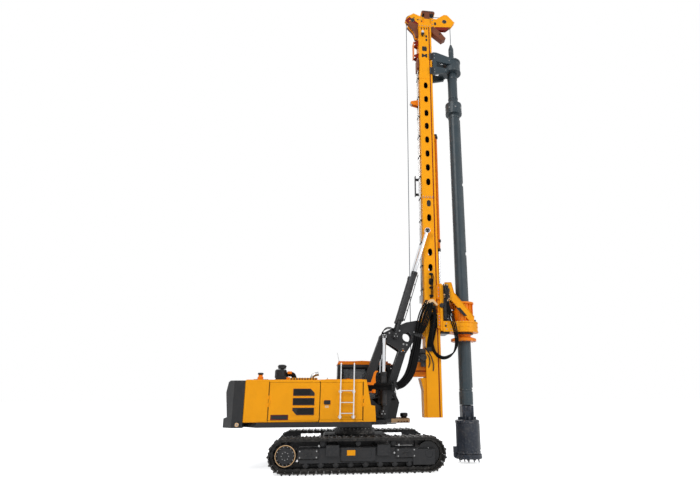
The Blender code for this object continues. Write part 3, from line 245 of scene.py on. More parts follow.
# Brown oxide; also the painted shade on the mast head's lower faces
BROWN = surface("brown_oxide_and_shade", (0.16, 0.045, 0.018), 0.5, vary=0.2, shine=0.3)
LENS = glass("lamp_lens", (0.75, 0.78, 0.80), 0.75)
GLASS = glass("tinted_glass", (0.020, 0.026, 0.030), 0.62)


# Shapes, collected in one bmesh for each named piece

# Vertices that lie closer than this are one
MERGED = 0.00005
# A profile's point this near the axis is on it
ON_AXIS = 1e-6
# Edges that turn by more degrees than these are bevelled, or shown sharp
BEVEL_ANGLE = 38
SHARP_ANGLE = 35
SIDES = (-1, 1)
SIDE_NAMES = ((-1, "right"), (1, "left"))
PLANES = {
    "XZ": Matrix(((1, 0, 0), (0, 0, -1), (0, 1, 0))).to_4x4(),
    "YZ": Matrix(((0, 0, 1), (1, 0, 0), (0, 1, 0))).to_4x4(),
    "XY": Matrix.Identity(4),
}


def span(side, low, high):
    """A (low, high) pair of Y on the machine's right (-1) or left (1) side."""
    return tuple(sorted((side * low, side * high)))


def around(middle, half):
    """A (low, high) pair about a middle."""
    return (middle - half, middle + half)


def outward(side):
    """Turns Z to face out on the machine's right (-1) or left (1) side."""
    return Matrix.Rotation(-side * math.pi / 2, 4, "X")


def block(bm, x, y, z, turn=None):
    """A block from (low, high) pairs; turn is a matrix about its centre."""
    size = [abs(v[1] - v[0]) for v in (x, y, z)]
    centre = [(v[0] + v[1]) / 2 for v in (x, y, z)]
    place = Matrix.Translation(centre)
    if turn is not None:
        place = place @ turn
    bmesh.ops.create_cube(bm, size=1.0, matrix=place @ Matrix.Diagonal((*size, 1.0)))


def rod(bm, a, b, r, r_end=None, sides=24):
    """A round bar from a to b, or a cone where r_end is given."""
    a = Vector(a)
    b = Vector(b)
    turn = (b - a).to_track_quat("Z", "Y").to_matrix().to_4x4()
    bmesh.ops.create_cone(bm, cap_ends=True, segments=sides, radius1=r,
                          radius2=r if r_end is None else r_end,
                          depth=(b - a).length,
                          matrix=Matrix.Translation((a + b) / 2) @ turn)


def arc(centre, r, start, end, steps):
    """Points on an arc between two angles in degrees."""
    angles = [math.radians(start + (end - start) * i / steps) for i in range(steps + 1)]
    return [(centre[0] + r * math.cos(a), centre[1] + r * math.sin(a)) for a in angles]


def circle(centre, r, steps=24):
    """A circle's outline."""
    return arc(centre, r, 0, 360 - 360 / steps, steps - 1)


def rounded(low, high, r, steps=4):
    """A rectangle's outline with round corners."""
    (u0, v0), (u1, v1) = low, high
    return (arc((u1 - r, v0 + r), r, -90, 0, steps) + arc((u1 - r, v1 - r), r, 0, 90, steps)
            + arc((u0 + r, v1 - r), r, 90, 180, steps)
            + arc((u0 + r, v0 + r), r, 180, 270, steps))


def slot_outline(centre, width, height, steps=8):
    """An upright slot's outline with round ends."""
    r = width / 2
    half = height / 2 - r
    return (arc((centre[0], centre[1] + half), r, 0, 180, steps)
            + arc((centre[0], centre[1] - half), r, 180, 360, steps))


def plate(bm, plane, low, high, outline, *holes):
    """A flat outline with holes, thickened from low to high."""
    curve = bpy.data.curves.new("outline", "CURVE")
    curve.dimensions = "2D"
    curve.fill_mode = "BOTH"
    curve.extrude = abs(high - low) / 2
    for points in (outline, *holes):
        spline = curve.splines.new("POLY")
        spline.points.add(len(points) - 1)
        for point, (u, v) in zip(spline.points, points):
            point.co = (u, v, 0.0, 1.0)
        spline.use_cyclic_u = True
    turn = PLANES[plane]
    normal = turn.col[2].to_3d()
    sign = normal.x + normal.y + normal.z
    add_curve(bm, curve, Matrix.Translation(normal * (low + high) / 2 * sign) @ turn)


def add_curve(bm, curve, place):
    """Adds a filled curve's mesh to the shapes."""
    obj = add_object("outline", curve)
    mesh = bpy.data.meshes.new_from_object(
        obj.evaluated_get(bpy.context.evaluated_depsgraph_get()))
    other = bmesh.new()
    other.from_mesh(mesh)
    bmesh.ops.remove_doubles(other, verts=other.verts[:], dist=MERGED)
    bmesh.ops.recalc_face_normals(other, faces=other.faces[:])
    bmesh.ops.transform(other, matrix=place, verts=other.verts[:])
    bmesh.ops.recalc_face_normals(other, faces=other.faces[:])
    other.to_mesh(mesh)
    other.free()
    bm.from_mesh(mesh)
    bpy.data.meshes.remove(mesh)
    bpy.data.objects.remove(obj)


def turned(bm, profile, at, sides=32, turn=None):
    """A closed (radius, height) profile spun on Z and moved to a place."""
    rings = []
    place = Matrix.Translation(at)
    if turn is not None:
        place = place @ turn
    for r, z in profile:
        if r < ON_AXIS:
            rings.append([bm.verts.new(place @ Vector((0, 0, z)))])
        else:
            rings.append([bm.verts.new(place @ Vector(
                (r * math.cos(a), r * math.sin(a), z)))
                for a in [2 * math.pi * i / sides for i in range(sides)]])
    faces = []
    for one, two in zip(rings, rings[1:]):
        for i in range(sides):
            j = (i + 1) % sides
            four = (one[i % len(one)], one[j % len(one)], two[j % len(two)], two[i % len(two)])
            corners = list(dict.fromkeys(four))
            if len(corners) > 2:
                faces.append(bm.faces.new(corners))
    bmesh.ops.recalc_face_normals(bm, faces=faces)


def ring(bm, inner, outer, low, high, at, sides, turn=None):
    """A ring with a square section."""
    turned(bm, [(inner, low), (outer, low), (outer, high), (inner, high), (inner, low)],
           at, sides, turn)


def bosses(bm, profile, x, y, z, steps=32, sides=SIDES):
    """A turned shape that faces out at y on each side of the machine."""
    for side in sides:
        turned(bm, profile, (x, side * y, z), steps, outward(side))


def bolt(bm, at, direction, r=0.018, height=0.014):
    """A hexagon head on a washer; direction is the way it faces."""
    a = Vector(at)
    d = Vector(direction).normalized()
    rod(bm, a - d * 0.003, a + d * 0.004, r * 1.45, sides=16)
    rod(bm, a, a + d * height, r, r * 0.94, sides=6)


def bolts(bm, places, direction, r=0.018, height=0.014):
    """The same bolt at several places."""
    for place in places:
        bolt(bm, place, direction, r, height)


def bolt_ring(bm, centre, r, count, direction, size):
    """Bolt heads on a circle that faces along one of the axes."""
    d = Vector(direction)
    for i in range(count):
        a = 2 * math.pi * i / count
        u, v = r * math.cos(a), r * math.sin(a)
        offset = {0: (0, u, v), 1: (u, 0, v), 2: (u, v, 0)}[
            max(range(3), key=lambda k: abs(d[k]))]
        bolt(bm, Vector(centre) + Vector(offset), d, size)


def mesh_object(name, bm, mat):
    """Turns the shapes into an object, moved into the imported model's frame."""
    bmesh.ops.translate(bm, vec=(SHIFT, 0, 0), verts=bm.verts[:])
    mesh = bpy.data.meshes.new(name)
    bm.to_mesh(mesh)
    bm.free()
    mesh.materials.append(mat)
    mesh.shade_smooth()
    return add_object(name, mesh)


def piece(name, bm, mat, body, bevel=0.0, smooth=SHARP_ANGLE, stands_for=()):
    """Makes one named piece that rides on a body, in its material's slot."""
    obj = mesh_object(name, bm, mat)
    obj.data.set_sharp_from_angle(angle=math.radians(smooth))
    if bevel:
        add_bevel(obj, bevel)
    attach(obj, body)
    if stands_for:
        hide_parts(*stands_for)
    return obj


def add_bevel(obj, width):
    """Rounds the sharp edges."""
    step = obj.modifiers.new("edges", "BEVEL")
    step.width = width
    step.segments = 2
    step.limit_method = "ANGLE"
    step.angle_limit = math.radians(BEVEL_ANGLE)
    step.use_clamp_overlap = True


def smooth_path(points, spacing=0.05):
    """Points on one smooth curve (uniform Catmull-Rom) through the given ones."""
    p = [Vector(v) for v in points]
    p = [2 * p[0] - p[1]] + p + [2 * p[-1] - p[-2]]
    path = [p[1]]
    for a, b, c, d in zip(p, p[1:], p[2:], p[3:]):
        steps = max(2, int((c - b).length / spacing))
        for i in range(1, steps + 1):
            t = i / steps
            path.append(0.5 * ((2 * b) + (c - a) * t + (2 * a - 5 * b + 4 * c - d) * t * t
                               + (3 * b - a - 3 * c + d) * t ** 3))
    return path


def sweep(bm, path, r, sides=12):
    """A round bar along a path, its rings carried from one to the next."""
    path = [Vector(v) for v in path]
    tangent = (path[1] - path[0]).normalized()
    normal = tangent.orthogonal().normalized()
    rings = []
    for i, at in enumerate(path):
        ahead = path[min(i + 1, len(path) - 1)] - path[max(i - 1, 0)]
        ahead.normalize()
        normal = (normal - ahead * normal.dot(ahead)).normalized()
        side = ahead.cross(normal)
        rings.append([bm.verts.new(at + (normal * math.cos(a) + side * math.sin(a)) * r)
                      for a in [2 * math.pi * k / sides for k in range(sides)]])
    faces = [bm.faces.new((one[k], one[(k + 1) % sides], two[(k + 1) % sides], two[k]))
             for one, two in zip(rings, rings[1:]) for k in range(sides)]
    faces.append(bm.faces.new(rings[0][::-1]))
    faces.append(bm.faces.new(rings[-1]))
    bmesh.ops.recalc_face_normals(bm, faces=faces)


def bent(bm, points, spacing, r, sides):
    """A round bar bent smoothly through a few points."""
    sweep(bm, smooth_path(points, spacing), r, sides)


def hose(name, points, r, body):
    """A hose from end to end on one body."""
    path = smooth_path(points)
    bm = bmesh.new()
    sweep(bm, path, r)
    piece(name, bm, RUBBER, body)


def pipe(name, points, r, body):
    """A rigid black pipe that bends through the points."""
    bm = bmesh.new()
    bent(bm, points, 0.04, r, 12)
    piece(name, bm, BLACK, body)


# The CAD nodes' own finish, and painted shade on some of their faces

# Axes of the two motors on the rotary drive
MOTOR_X = 3.09
MOTOR_Y = 0.14
NODE_FINISH = {
    CHARCOAL: ("carbody", "turntable", "track_frame_right", "track_frame_left",
               "sprocket_right", "sprocket_left", "counterweight", "boom_arms",
               "link_arms", "triangle_plates", "luff_cylinder_right_barrel",
               "luff_cylinder_left_barrel", "mast_cylinder_right_barrel",
               "mast_cylinder_left_barrel", "winch_drum", "sheave_front"),
    TRACK: ("slew_ring", "track_right", "track_left"),
    YELLOW: ("engine_hood", "tank_housing", "hood_door_right_rear",
             "hood_door_right_front", "hood_door_left", "mast_lower", "mast_upper",
             "mast_head", "rotary_drive"),
    STEEL: ("engine", "exhaust"),
    LADDER: ("ladder",),
    BLACK: ("air_cleaner", "cab_shell", "cab_door"),
    ORANGE: ("cab_roof", "winch_frame", "crowd_barrel", "drive_sleeve"),
    GLASS: ("cab_glass_right", "cab_glass_front", "cab_door_glass"),
    SEAT: ("operator_seat",),
    CHROME: ("luff_cylinder_right_rod", "luff_cylinder_left_rod",
             "mast_cylinder_right_rod", "mast_cylinder_left_rod", "crowd_rod"),
    ROPE: ("rope_main", "rope_kelly"),
    RED: ("sheave_rear",),
    SLATE: ("kelly_follower", "kelly_bar"),
    NAVY: ("bucket_body", "bucket_bottom"),
}
# Nodes that are turned or thin and so get no bevel
ROUND_NODES = ("slew_ring", "rope_main", "rope_kelly", "cab_glass_right",
               "cab_glass_front", "cab_door_glass", "ladder", "exhaust")
NODE_BEVEL = 0.006


def finish_node(obj, mat, bevelled):
    """Gives a CAD node its paint, welded seams and rounded edges."""
    obj.data.materials.clear()
    obj.data.materials.append(mat)
    weld = obj.modifiers.new("weld", "WELD")
    weld.merge_threshold = MERGED
    if bevelled:
        add_bevel(obj, NODE_BEVEL)
        obj.modifiers["edges"].harden_normals = True


def paint_part(name, mat, region):
    """Gives the faces of one node whose middle lies in a region another paint, used for their own
    colour and for painted shade.
    """
    obj = NODES[name]
    obj.data.materials.append(mat)
    for face in obj.data.polygons:
        at = obj.matrix_world @ face.center - Vector((SHIFT, 0, 0))
        if region(at):
            face.material_index = len(obj.data.materials) - 1


for finish, node_names in NODE_FINISH.items():
    for node_name in node_names:
        finish_node(NODES[node_name], finish, node_name not in ROUND_NODES)
# The head's faces painted brown: the upper box's sides below the black cap, and, as painted shade,
# the lower rear arm and the front underside
paint_part("mast_head", BROWN, lambda at: 16.96 < at.z < 17.33 and 0.0725 < abs(at.y))
paint_part("mast_head", BLACK, lambda at: at.z > 17.33 and 2.46 < at.x < 3.02)
paint_part("mast_head", BROWN, lambda at: at.x < 2.37 and at.z < 16.76
           and 0.0725 < abs(at.y) < 0.2)
paint_part("mast_head", BROWN, lambda at: at.x > 2.79 and at.z < 16.66
           and (0.0725 < abs(at.y) or at.z < 16.48))
# The mast halves' inside faces painted black: painted shade inside the hollow box, seen through its
# holes
for mast_half in ("mast_lower", "mast_upper"):
    paint_part(mast_half, BLACK, lambda at: 2.305 < at.x < 2.695 and abs(at.y) < 0.272)
paint_part("rotary_drive", BLACK, lambda at: 4.48 < at.z < 5.12
           and math.hypot(at.x - MOTOR_X, abs(at.y) - MOTOR_Y) < 0.135)


# Crawler tracks

TRACK_R = 0.49
TRACK_Y = 1.65
WHEEL_X = 2.01
SHOE_R = 0.458
SHOE_COUNT = 51
SHOE_HALF = 0.35
LOOP = 4 * WHEEL_X + 2 * math.pi * SHOE_R
PITCH = LOOP / SHOE_COUNT
# A shoe seen from the side: share of its pitch, distance from the wheels' axes
SHOE_PROFILE = ((0.015, 0.432), (0.015, 0.452), (0.05, SHOE_R), (0.16, SHOE_R),
                (0.20, 0.472), (0.26, 0.472), (0.30, SHOE_R), (0.58, SHOE_R),
                (0.645, TRACK_R), (0.79, TRACK_R), (0.85, SHOE_R), (0.96, SHOE_R),
                (0.985, 0.448), (0.985, 0.432))
LINK_PROFILE = ((0.04, 0.350), (0.10, 0.346), (0.90, 0.346), (0.96, 0.350),
                (0.985, 0.380), (0.93, 0.431), (0.07, 0.431), (0.015, 0.380))


def loop_point(s, r):
    """A place s metres along the track, r from its wheels' axes, as (x, z)."""
    straight = 2 * WHEEL_X
    bend = math.pi * SHOE_R
    s = s % LOOP
    if s < straight:
        return (-WHEEL_X + s, TRACK_R - r)
    s -= straight
    if s < bend:
        a = -math.pi / 2 + s / SHOE_R
        return (WHEEL_X + r * math.cos(a), TRACK_R + r * math.sin(a))
    s -= bend
    if s < straight:
        return (WHEEL_X - s, TRACK_R + r)
    a = math.pi / 2 + (s - straight) / SHOE_R
    return (-WHEEL_X + r * math.cos(a), TRACK_R + r * math.sin(a))


def extruded(bm, outline, y0, y1):
    """An XZ outline thickened along Y by hand, quick for many small shapes."""
    near = [bm.verts.new((x, y0, z)) for x, z in outline]
    far = [bm.verts.new((x, y1, z)) for x, z in outline]
    count = len(outline)
    faces = [bm.faces.new((near[i], near[(i + 1) % count], far[(i + 1) % count], far[i]))
             for i in range(count)]
    faces.append(bm.faces.new(near[::-1]))
    faces.append(bm.faces.new(far))
    return faces


def track_shoes(side, name):
    """The tread shoes, the chain inside them and their bolts."""
    y = side * TRACK_Y
    bm = bmesh.new()
    faces = []
    for i in range(SHOE_COUNT):
        outline = [loop_point((i + share) * PITCH, r) for share, r in SHOE_PROFILE]
        faces += extruded(bm, outline, y - SHOE_HALF, y + SHOE_HALF)
    bmesh.ops.recalc_face_normals(bm, faces=faces)
    piece("track_shoes_" + name, bm, TRACK, "crawler_" + name, bevel=0.005, smooth=25,
          stands_for=("track_" + name,))
    bm = bmesh.new()
    faces = []
    for i in range(SHOE_COUNT):
        outline = [loop_point((i + share) * PITCH, r) for share, r in LINK_PROFILE]
        for low in (-0.105, 0.062):
            faces += extruded(bm, outline, y + low, y + low + 0.043)
    bmesh.ops.recalc_face_normals(bm, faces=faces)
    for i in range(SHOE_COUNT):
        x, z = loop_point(i * PITCH, 0.388)
        rod(bm, (x, y - 0.115, z), (x, y + 0.115, z), 0.026, sides=10)
    piece("track_chain_" + name, bm, TRACK, "crawler_" + name, bevel=0.003)
    bm = bmesh.new()
    for i in range(SHOE_COUNT):
        for share in (0.36, 0.50):
            x, z = loop_point((i + share) * PITCH, SHOE_R)
            u, v = loop_point((i + share) * PITCH, SHOE_R + 0.1)
            for across in (-0.085, 0.085):
                bolt(bm, (x, y + across, z), (u - x, 0, v - z), 0.013, 0.010)
    piece("track_bolts_" + name, bm, STEEL, "crawler_" + name)


def roller_flanges(side, name):
    """Flanges and end caps that turn the plain rollers into track rollers."""
    bm = bmesh.new()
    low_z = TRACK_R - 0.345 + 0.095
    for i in range(8):
        x = -1.45 + 2.9 * i / 7
        for y0, y1, r in ((1.475, 1.505, 0.075), (1.755, 1.775, 0.085),
                          (1.775, 1.80, 0.05)):
            rod(bm, (x, side * y0, low_z), (x, side * y1, low_z), r, sides=20)
    top_z = TRACK_R + 0.345 - 0.06
    for x in (-1.0, 0.0, 1.0):
        for y0, y1, r in ((1.535, 1.565, 0.072), (1.735, 1.765, 0.072),
                          (1.765, 1.785, 0.04)):
            rod(bm, (x, side * y0, top_z), (x, side * y1, top_z), r, sides=20)
    piece("roller_flanges_" + name, bm, CHARCOAL, "crawler_" + name, bevel=0.004)


def frame_details(side, name):
    """Cover plates, bolts and handles on the outer face of a track frame."""
    bm = bmesh.new()
    for x in (-0.735, 0.695):
        plate(bm, "XZ", *span(side, 1.87, 1.882),
              rounded((x - 0.165, 0.465), (x + 0.165, 0.735), 0.03))
    plate(bm, "XZ", *span(side, 1.86, 1.872),
          [(-0.46, 0.345), (-0.41, 0.325), (0.41, 0.325), (0.46, 0.345), (0.46, 0.66),
           (-0.46, 0.66)],
          rounded((-0.24, 0.40), (-0.03, 0.61), 0.03),
          rounded((0.05, 0.40), (0.36, 0.61), 0.03))
    for x in (-1.39, 1.35):
        plate(bm, "XZ", *span(side, 1.85, 1.86), rounded((x - 0.26, 0.41), (x + 0.26, 0.63), 0.025))
        plate(bm, "XZ", *span(side, 1.86, 1.87), rounded((x - 0.10, 0.46), (x + 0.10, 0.58), 0.02))
    piece("frame_covers_" + name, bm, CHARCOAL, "crawler_" + name, bevel=0.004)
    bm = bmesh.new()
    out = (0, side, 0)
    for x, z in ((-1.10, 0.735), (1.14, 0.735), (1.01, 0.53)):
        rod(bm, (x, side * 1.80, z), (x, side * 1.885, z), 0.026, sides=20)
    for x in (-1.39, 1.35):
        bolts(bm, [(x + dx, side * 1.86, z) for dx in (-0.23, 0.23) for z in (0.44, 0.60)],
              out, 0.013)
    bolt_ring(bm, (-WHEEL_X, side * 1.885, TRACK_R), 0.225, 14, out, 0.012)
    bolt_ring(bm, (-WHEEL_X, side * 1.922, TRACK_R), 0.10, 8, out, 0.012)
    bolt_ring(bm, (WHEEL_X, side * 1.732, TRACK_R), 0.14, 8, out, 0.012)
    piece("frame_bolts_" + name, bm, STEEL, "crawler_" + name)
    bm = bmesh.new()
    bosses(bm, [(0.0, 0.0), (0.12, 0.0), (0.14, -0.012), (0.14, -0.03), (0.0, -0.03)],
           -WHEEL_X, 1.935, TRACK_R, 32, (side,))
    bosses(bm, [(0.0, 0.0), (0.10, 0.0), (0.12, -0.02), (0.12, -0.06), (0.0, -0.06)],
           WHEEL_X, 1.85, TRACK_R, 28, (side,))
    for x in (-1.39, 1.35):
        bent(bm, [(x - 0.08, side * 1.868, 0.52), (x - 0.075, side * 1.905, 0.52),
                  (x + 0.075, side * 1.905, 0.52), (x + 0.08, side * 1.868, 0.52)],
             0.02, 0.009, 10)
    piece("frame_hubs_" + name, bm, CHARCOAL, "crawler_" + name, bevel=0.002)
    bm = bmesh.new()
    # A beige ring on the sprocket's face: a painted glint on its teeth
    bosses(bm, [(0.262, 0.0), (0.262, 0.014), (0.279, 0.010), (0.279, 0.0), (0.262, 0.0)],
           -WHEEL_X, 1.885, TRACK_R, 48, (side,))
    piece("sprocket_glint_ring_" + name, bm, BEIGE, "crawler_" + name)
    bm = bmesh.new()
    # A dark plate inside the track between its wheels: a rock guard, and painted shade of the
    # ground under the machine that hides the bright floor through the track
    left = [(-WHEEL_X + r * math.cos(a), TRACK_R + r * math.sin(a)) for r, turns in
            ((0.42, range(9)), (0.20, range(8, -1, -1)))
            for a in [math.pi / 2 + math.pi * i / 8 for i in turns]]
    right = [(-x, z) for x, z in left]
    start = [(-1.72, TRACK_R + 0.20), (-1.72, TRACK_R + 0.42)]
    plate(bm, "XZ", *span(side, 1.455, 1.467), start + left[:9] + right[8::-1]
          + [(-x, z) for x, z in start[::-1]] + right[:8:-1] + left[9:])
    piece("rock_guard_and_shade_" + name, bm, CHARCOAL, "crawler_" + name, bevel=0.003)
    bm = bmesh.new()
    block(bm, (-0.32, -0.09), span(side, 1.872, 1.878), (0.475, 0.615))
    piece("frame_label_plate_" + name, bm, YELLOW, "crawler_" + name, bevel=0.002)


def slew_details():
    """Bolts round the slewing ring and treads on the carbody's beams."""
    bm = bmesh.new()
    bolt_ring(bm, (0, 0, 1.091), 0.60, 30, (0, 0, 1), 0.014)
    piece("slew_ring_bolts", bm, STEEL, "undercarriage")
    bm = bmesh.new()
    for x in (-0.72, 0.72):
        for y0, y1 in ((-1.28, -0.77), (0.77, 1.28)):
            for i in range(6):
                at = y0 + 0.05 + i * (y1 - y0 - 0.1) / 5
                block(bm, around(x, 0.15), around(at, 0.008), (0.75, 0.762))
    piece("beam_treads", bm, CHARCOAL, "undercarriage", bevel=0.002)


for track_side, track_name in SIDE_NAMES:
    track_shoes(track_side, track_name)
    roller_flanges(track_side, track_name)
    frame_details(track_side, track_name)
slew_details()


# Upper structure: hood, counterweight and deck

SIDE_Y = 1.45
HOOD_TOP = 2.52
CW_FRONT = -3.28


def louvre(bm, side, outline, slats, top, bottom, x0, x1):
    """A dark grille: a framed panel with sloping slats."""
    plate(bm, "XZ", *span(side, SIDE_Y + 0.012, SIDE_Y + 0.018), outline)
    tilt = Matrix.Rotation(side * math.radians(35), 4, "X")
    for i in range(slats):
        z = bottom + (i + 0.5) * (top - bottom) / slats
        block(bm, (x0, x1), span(side, SIDE_Y + 0.014, SIDE_Y + 0.034), around(z, 0.004), tilt)


def louvres(side, body, name):
    """Three grilles, the highest and the lowest with one corner cut off."""
    bm = bmesh.new()
    x0, x1 = -1.90, -1.28
    for z, cut_corner in ((1.54, "low"), (1.81, ""), (2.07, "high")):
        top = z + 0.20
        outline = [(x0, z), (x1, z), (x1, top), (x0, top)]
        left, right = x0 + 0.02, x1 - 0.02
        if cut_corner == "high":
            outline = [(x0, z), (x1, z), (x1, z + 0.08), (x1 - 0.12, top), (x0, top)]
            right = x1 - 0.13
        if cut_corner == "low":
            outline = [(x0 + 0.12, z), (x1, z), (x1, top), (x0, top), (x0, z + 0.12)]
            left = x0 + 0.13
        louvre(bm, side, outline, 6, top - 0.02, z + 0.02, left, right)
    piece("louvres_" + name, bm, BLACK, body, bevel=0.0015)


def latch(bm, x, z, side):
    """A recessed paddle latch with its keyhole boss."""
    plate(bm, "XZ", *span(side, SIDE_Y, SIDE_Y + 0.008),
          rounded((x - 0.075, z - 0.05), (x + 0.075, z + 0.05), 0.02))
    plate(bm, "XZ", *span(side, SIDE_Y + 0.008, SIDE_Y + 0.018),
          rounded((x - 0.055, z - 0.032), (x + 0.015, z + 0.032), 0.012))
    rod(bm, (x + 0.045, side * SIDE_Y, z), (x + 0.045, side * (SIDE_Y + 0.016), z), 0.017)


def diamond(bm, x, y, z, half_length, half_width):
    """A raised mark of a tread plate."""
    plate(bm, "XY", z, z + 0.004, [(x - half_length, y), (x, y - half_width),
                                   (x + half_length, y), (x, y + half_width)])


def hood_details():
    """Latches, ladder rails, seams and plates on the hood's sides."""
    louvres(-1, "hood_door_right_rear", "right")
    louvres(1, "hood_door_left", "left")
    bm = bmesh.new()
    latch(bm, -1.32, 1.50, 1)
    piece("latch_left", bm, BLACK, "hood_door_left", bevel=0.0015)
    bm = bmesh.new()
    for x in (-0.53, -0.14):
        bent(bm, [(x, -1.56, 2.40), (x, -1.56, 2.92), (x, -1.55, 2.97), (x, -1.51, 2.99)], 0.1,
             0.020, 12)
        for z in (1.48, 2.19):
            rod(bm, (x, -1.4505, z), (x, -1.462, z), 0.052)
            rod(bm, (x, -1.46, z), (x, -1.55, z), 0.018, sides=12)
            rod(bm, (x, -1.54, z - 0.04), (x, -1.54, z + 0.04), 0.036)
    piece("ladder_rails", bm, LADDER, "hood_door_right_front")
    bm = bmesh.new()
    block(bm, (0.137, 0.157), (-SIDE_Y - 0.002, -SIDE_Y + 0.01), (1.36, 2.47))
    for z0, z1 in ((1.36, 1.393), (2.447, 2.47)):
        block(bm, (-1.139, -1.121), (-SIDE_Y - 0.002, -SIDE_Y + 0.01), (z0, z1))
    block(bm, (-2.602, -2.586), (-SIDE_Y - 0.002, -SIDE_Y + 0.01), (1.36, 2.47))
    piece("hood_seam", bm, RUBBER, "upper")
    bm = bmesh.new()
    block(bm, (-1.1265, -1.110), (-SIDE_Y - 0.002, -SIDE_Y + 0.01), (1.402, 2.438))
    piece("door_seam", bm, RUBBER, "hood_door_right_front")
    bm = bmesh.new()
    plate(bm, "XZ", -SIDE_Y - 0.029, -SIDE_Y - 0.02,
          rounded((-1.005, 1.825), (-0.815, 1.945), 0.03))
    plate(bm, "XZ", -SIDE_Y - 0.042, -SIDE_Y - 0.028,
          rounded((-0.985, 1.845), (-0.885, 1.925), 0.02))
    rod(bm, (-0.85, -SIDE_Y - 0.02, 1.885), (-0.85, -SIDE_Y - 0.04, 1.885), 0.018)
    piece("latch_front", bm, BLACK, "hood_door_right_front", bevel=0.002)
    bm = bmesh.new()
    plate(bm, "XZ", -SIDE_Y - 0.004, -SIDE_Y, rounded((-0.97, 1.73), (-0.86, 1.80), 0.01))
    piece("service_plate", bm, BEIGE, "hood_door_right_front", bevel=0.001)
    bm = bmesh.new()
    plate(bm, "XZ", -SIDE_Y - 0.005, -SIDE_Y, rounded((-2.51, 1.405), (-2.01, 1.55), 0.012))
    piece("blank_plate", bm, BLACK, "hood_door_right_rear", bevel=0.001)
    bm = bmesh.new()
    plate(bm, "XZ", -SIDE_Y - 0.007, -SIDE_Y - 0.004,
          rounded((-2.50, 1.412), (-2.02, 1.543), 0.010),
          rounded((-2.485, 1.425), (-2.035, 1.530), 0.008))
    piece("blank_plate_border", bm, RED, "hood_door_right_rear")
    bm = bmesh.new()
    block(bm, (CW_FRONT + 0.03, 0.20), (-1.375, -1.33), (HOOD_TOP - 0.002, HOOD_TOP + 0.008))
    piece("hood_edge", bm, YELLOW, "upper", bevel=0.002)


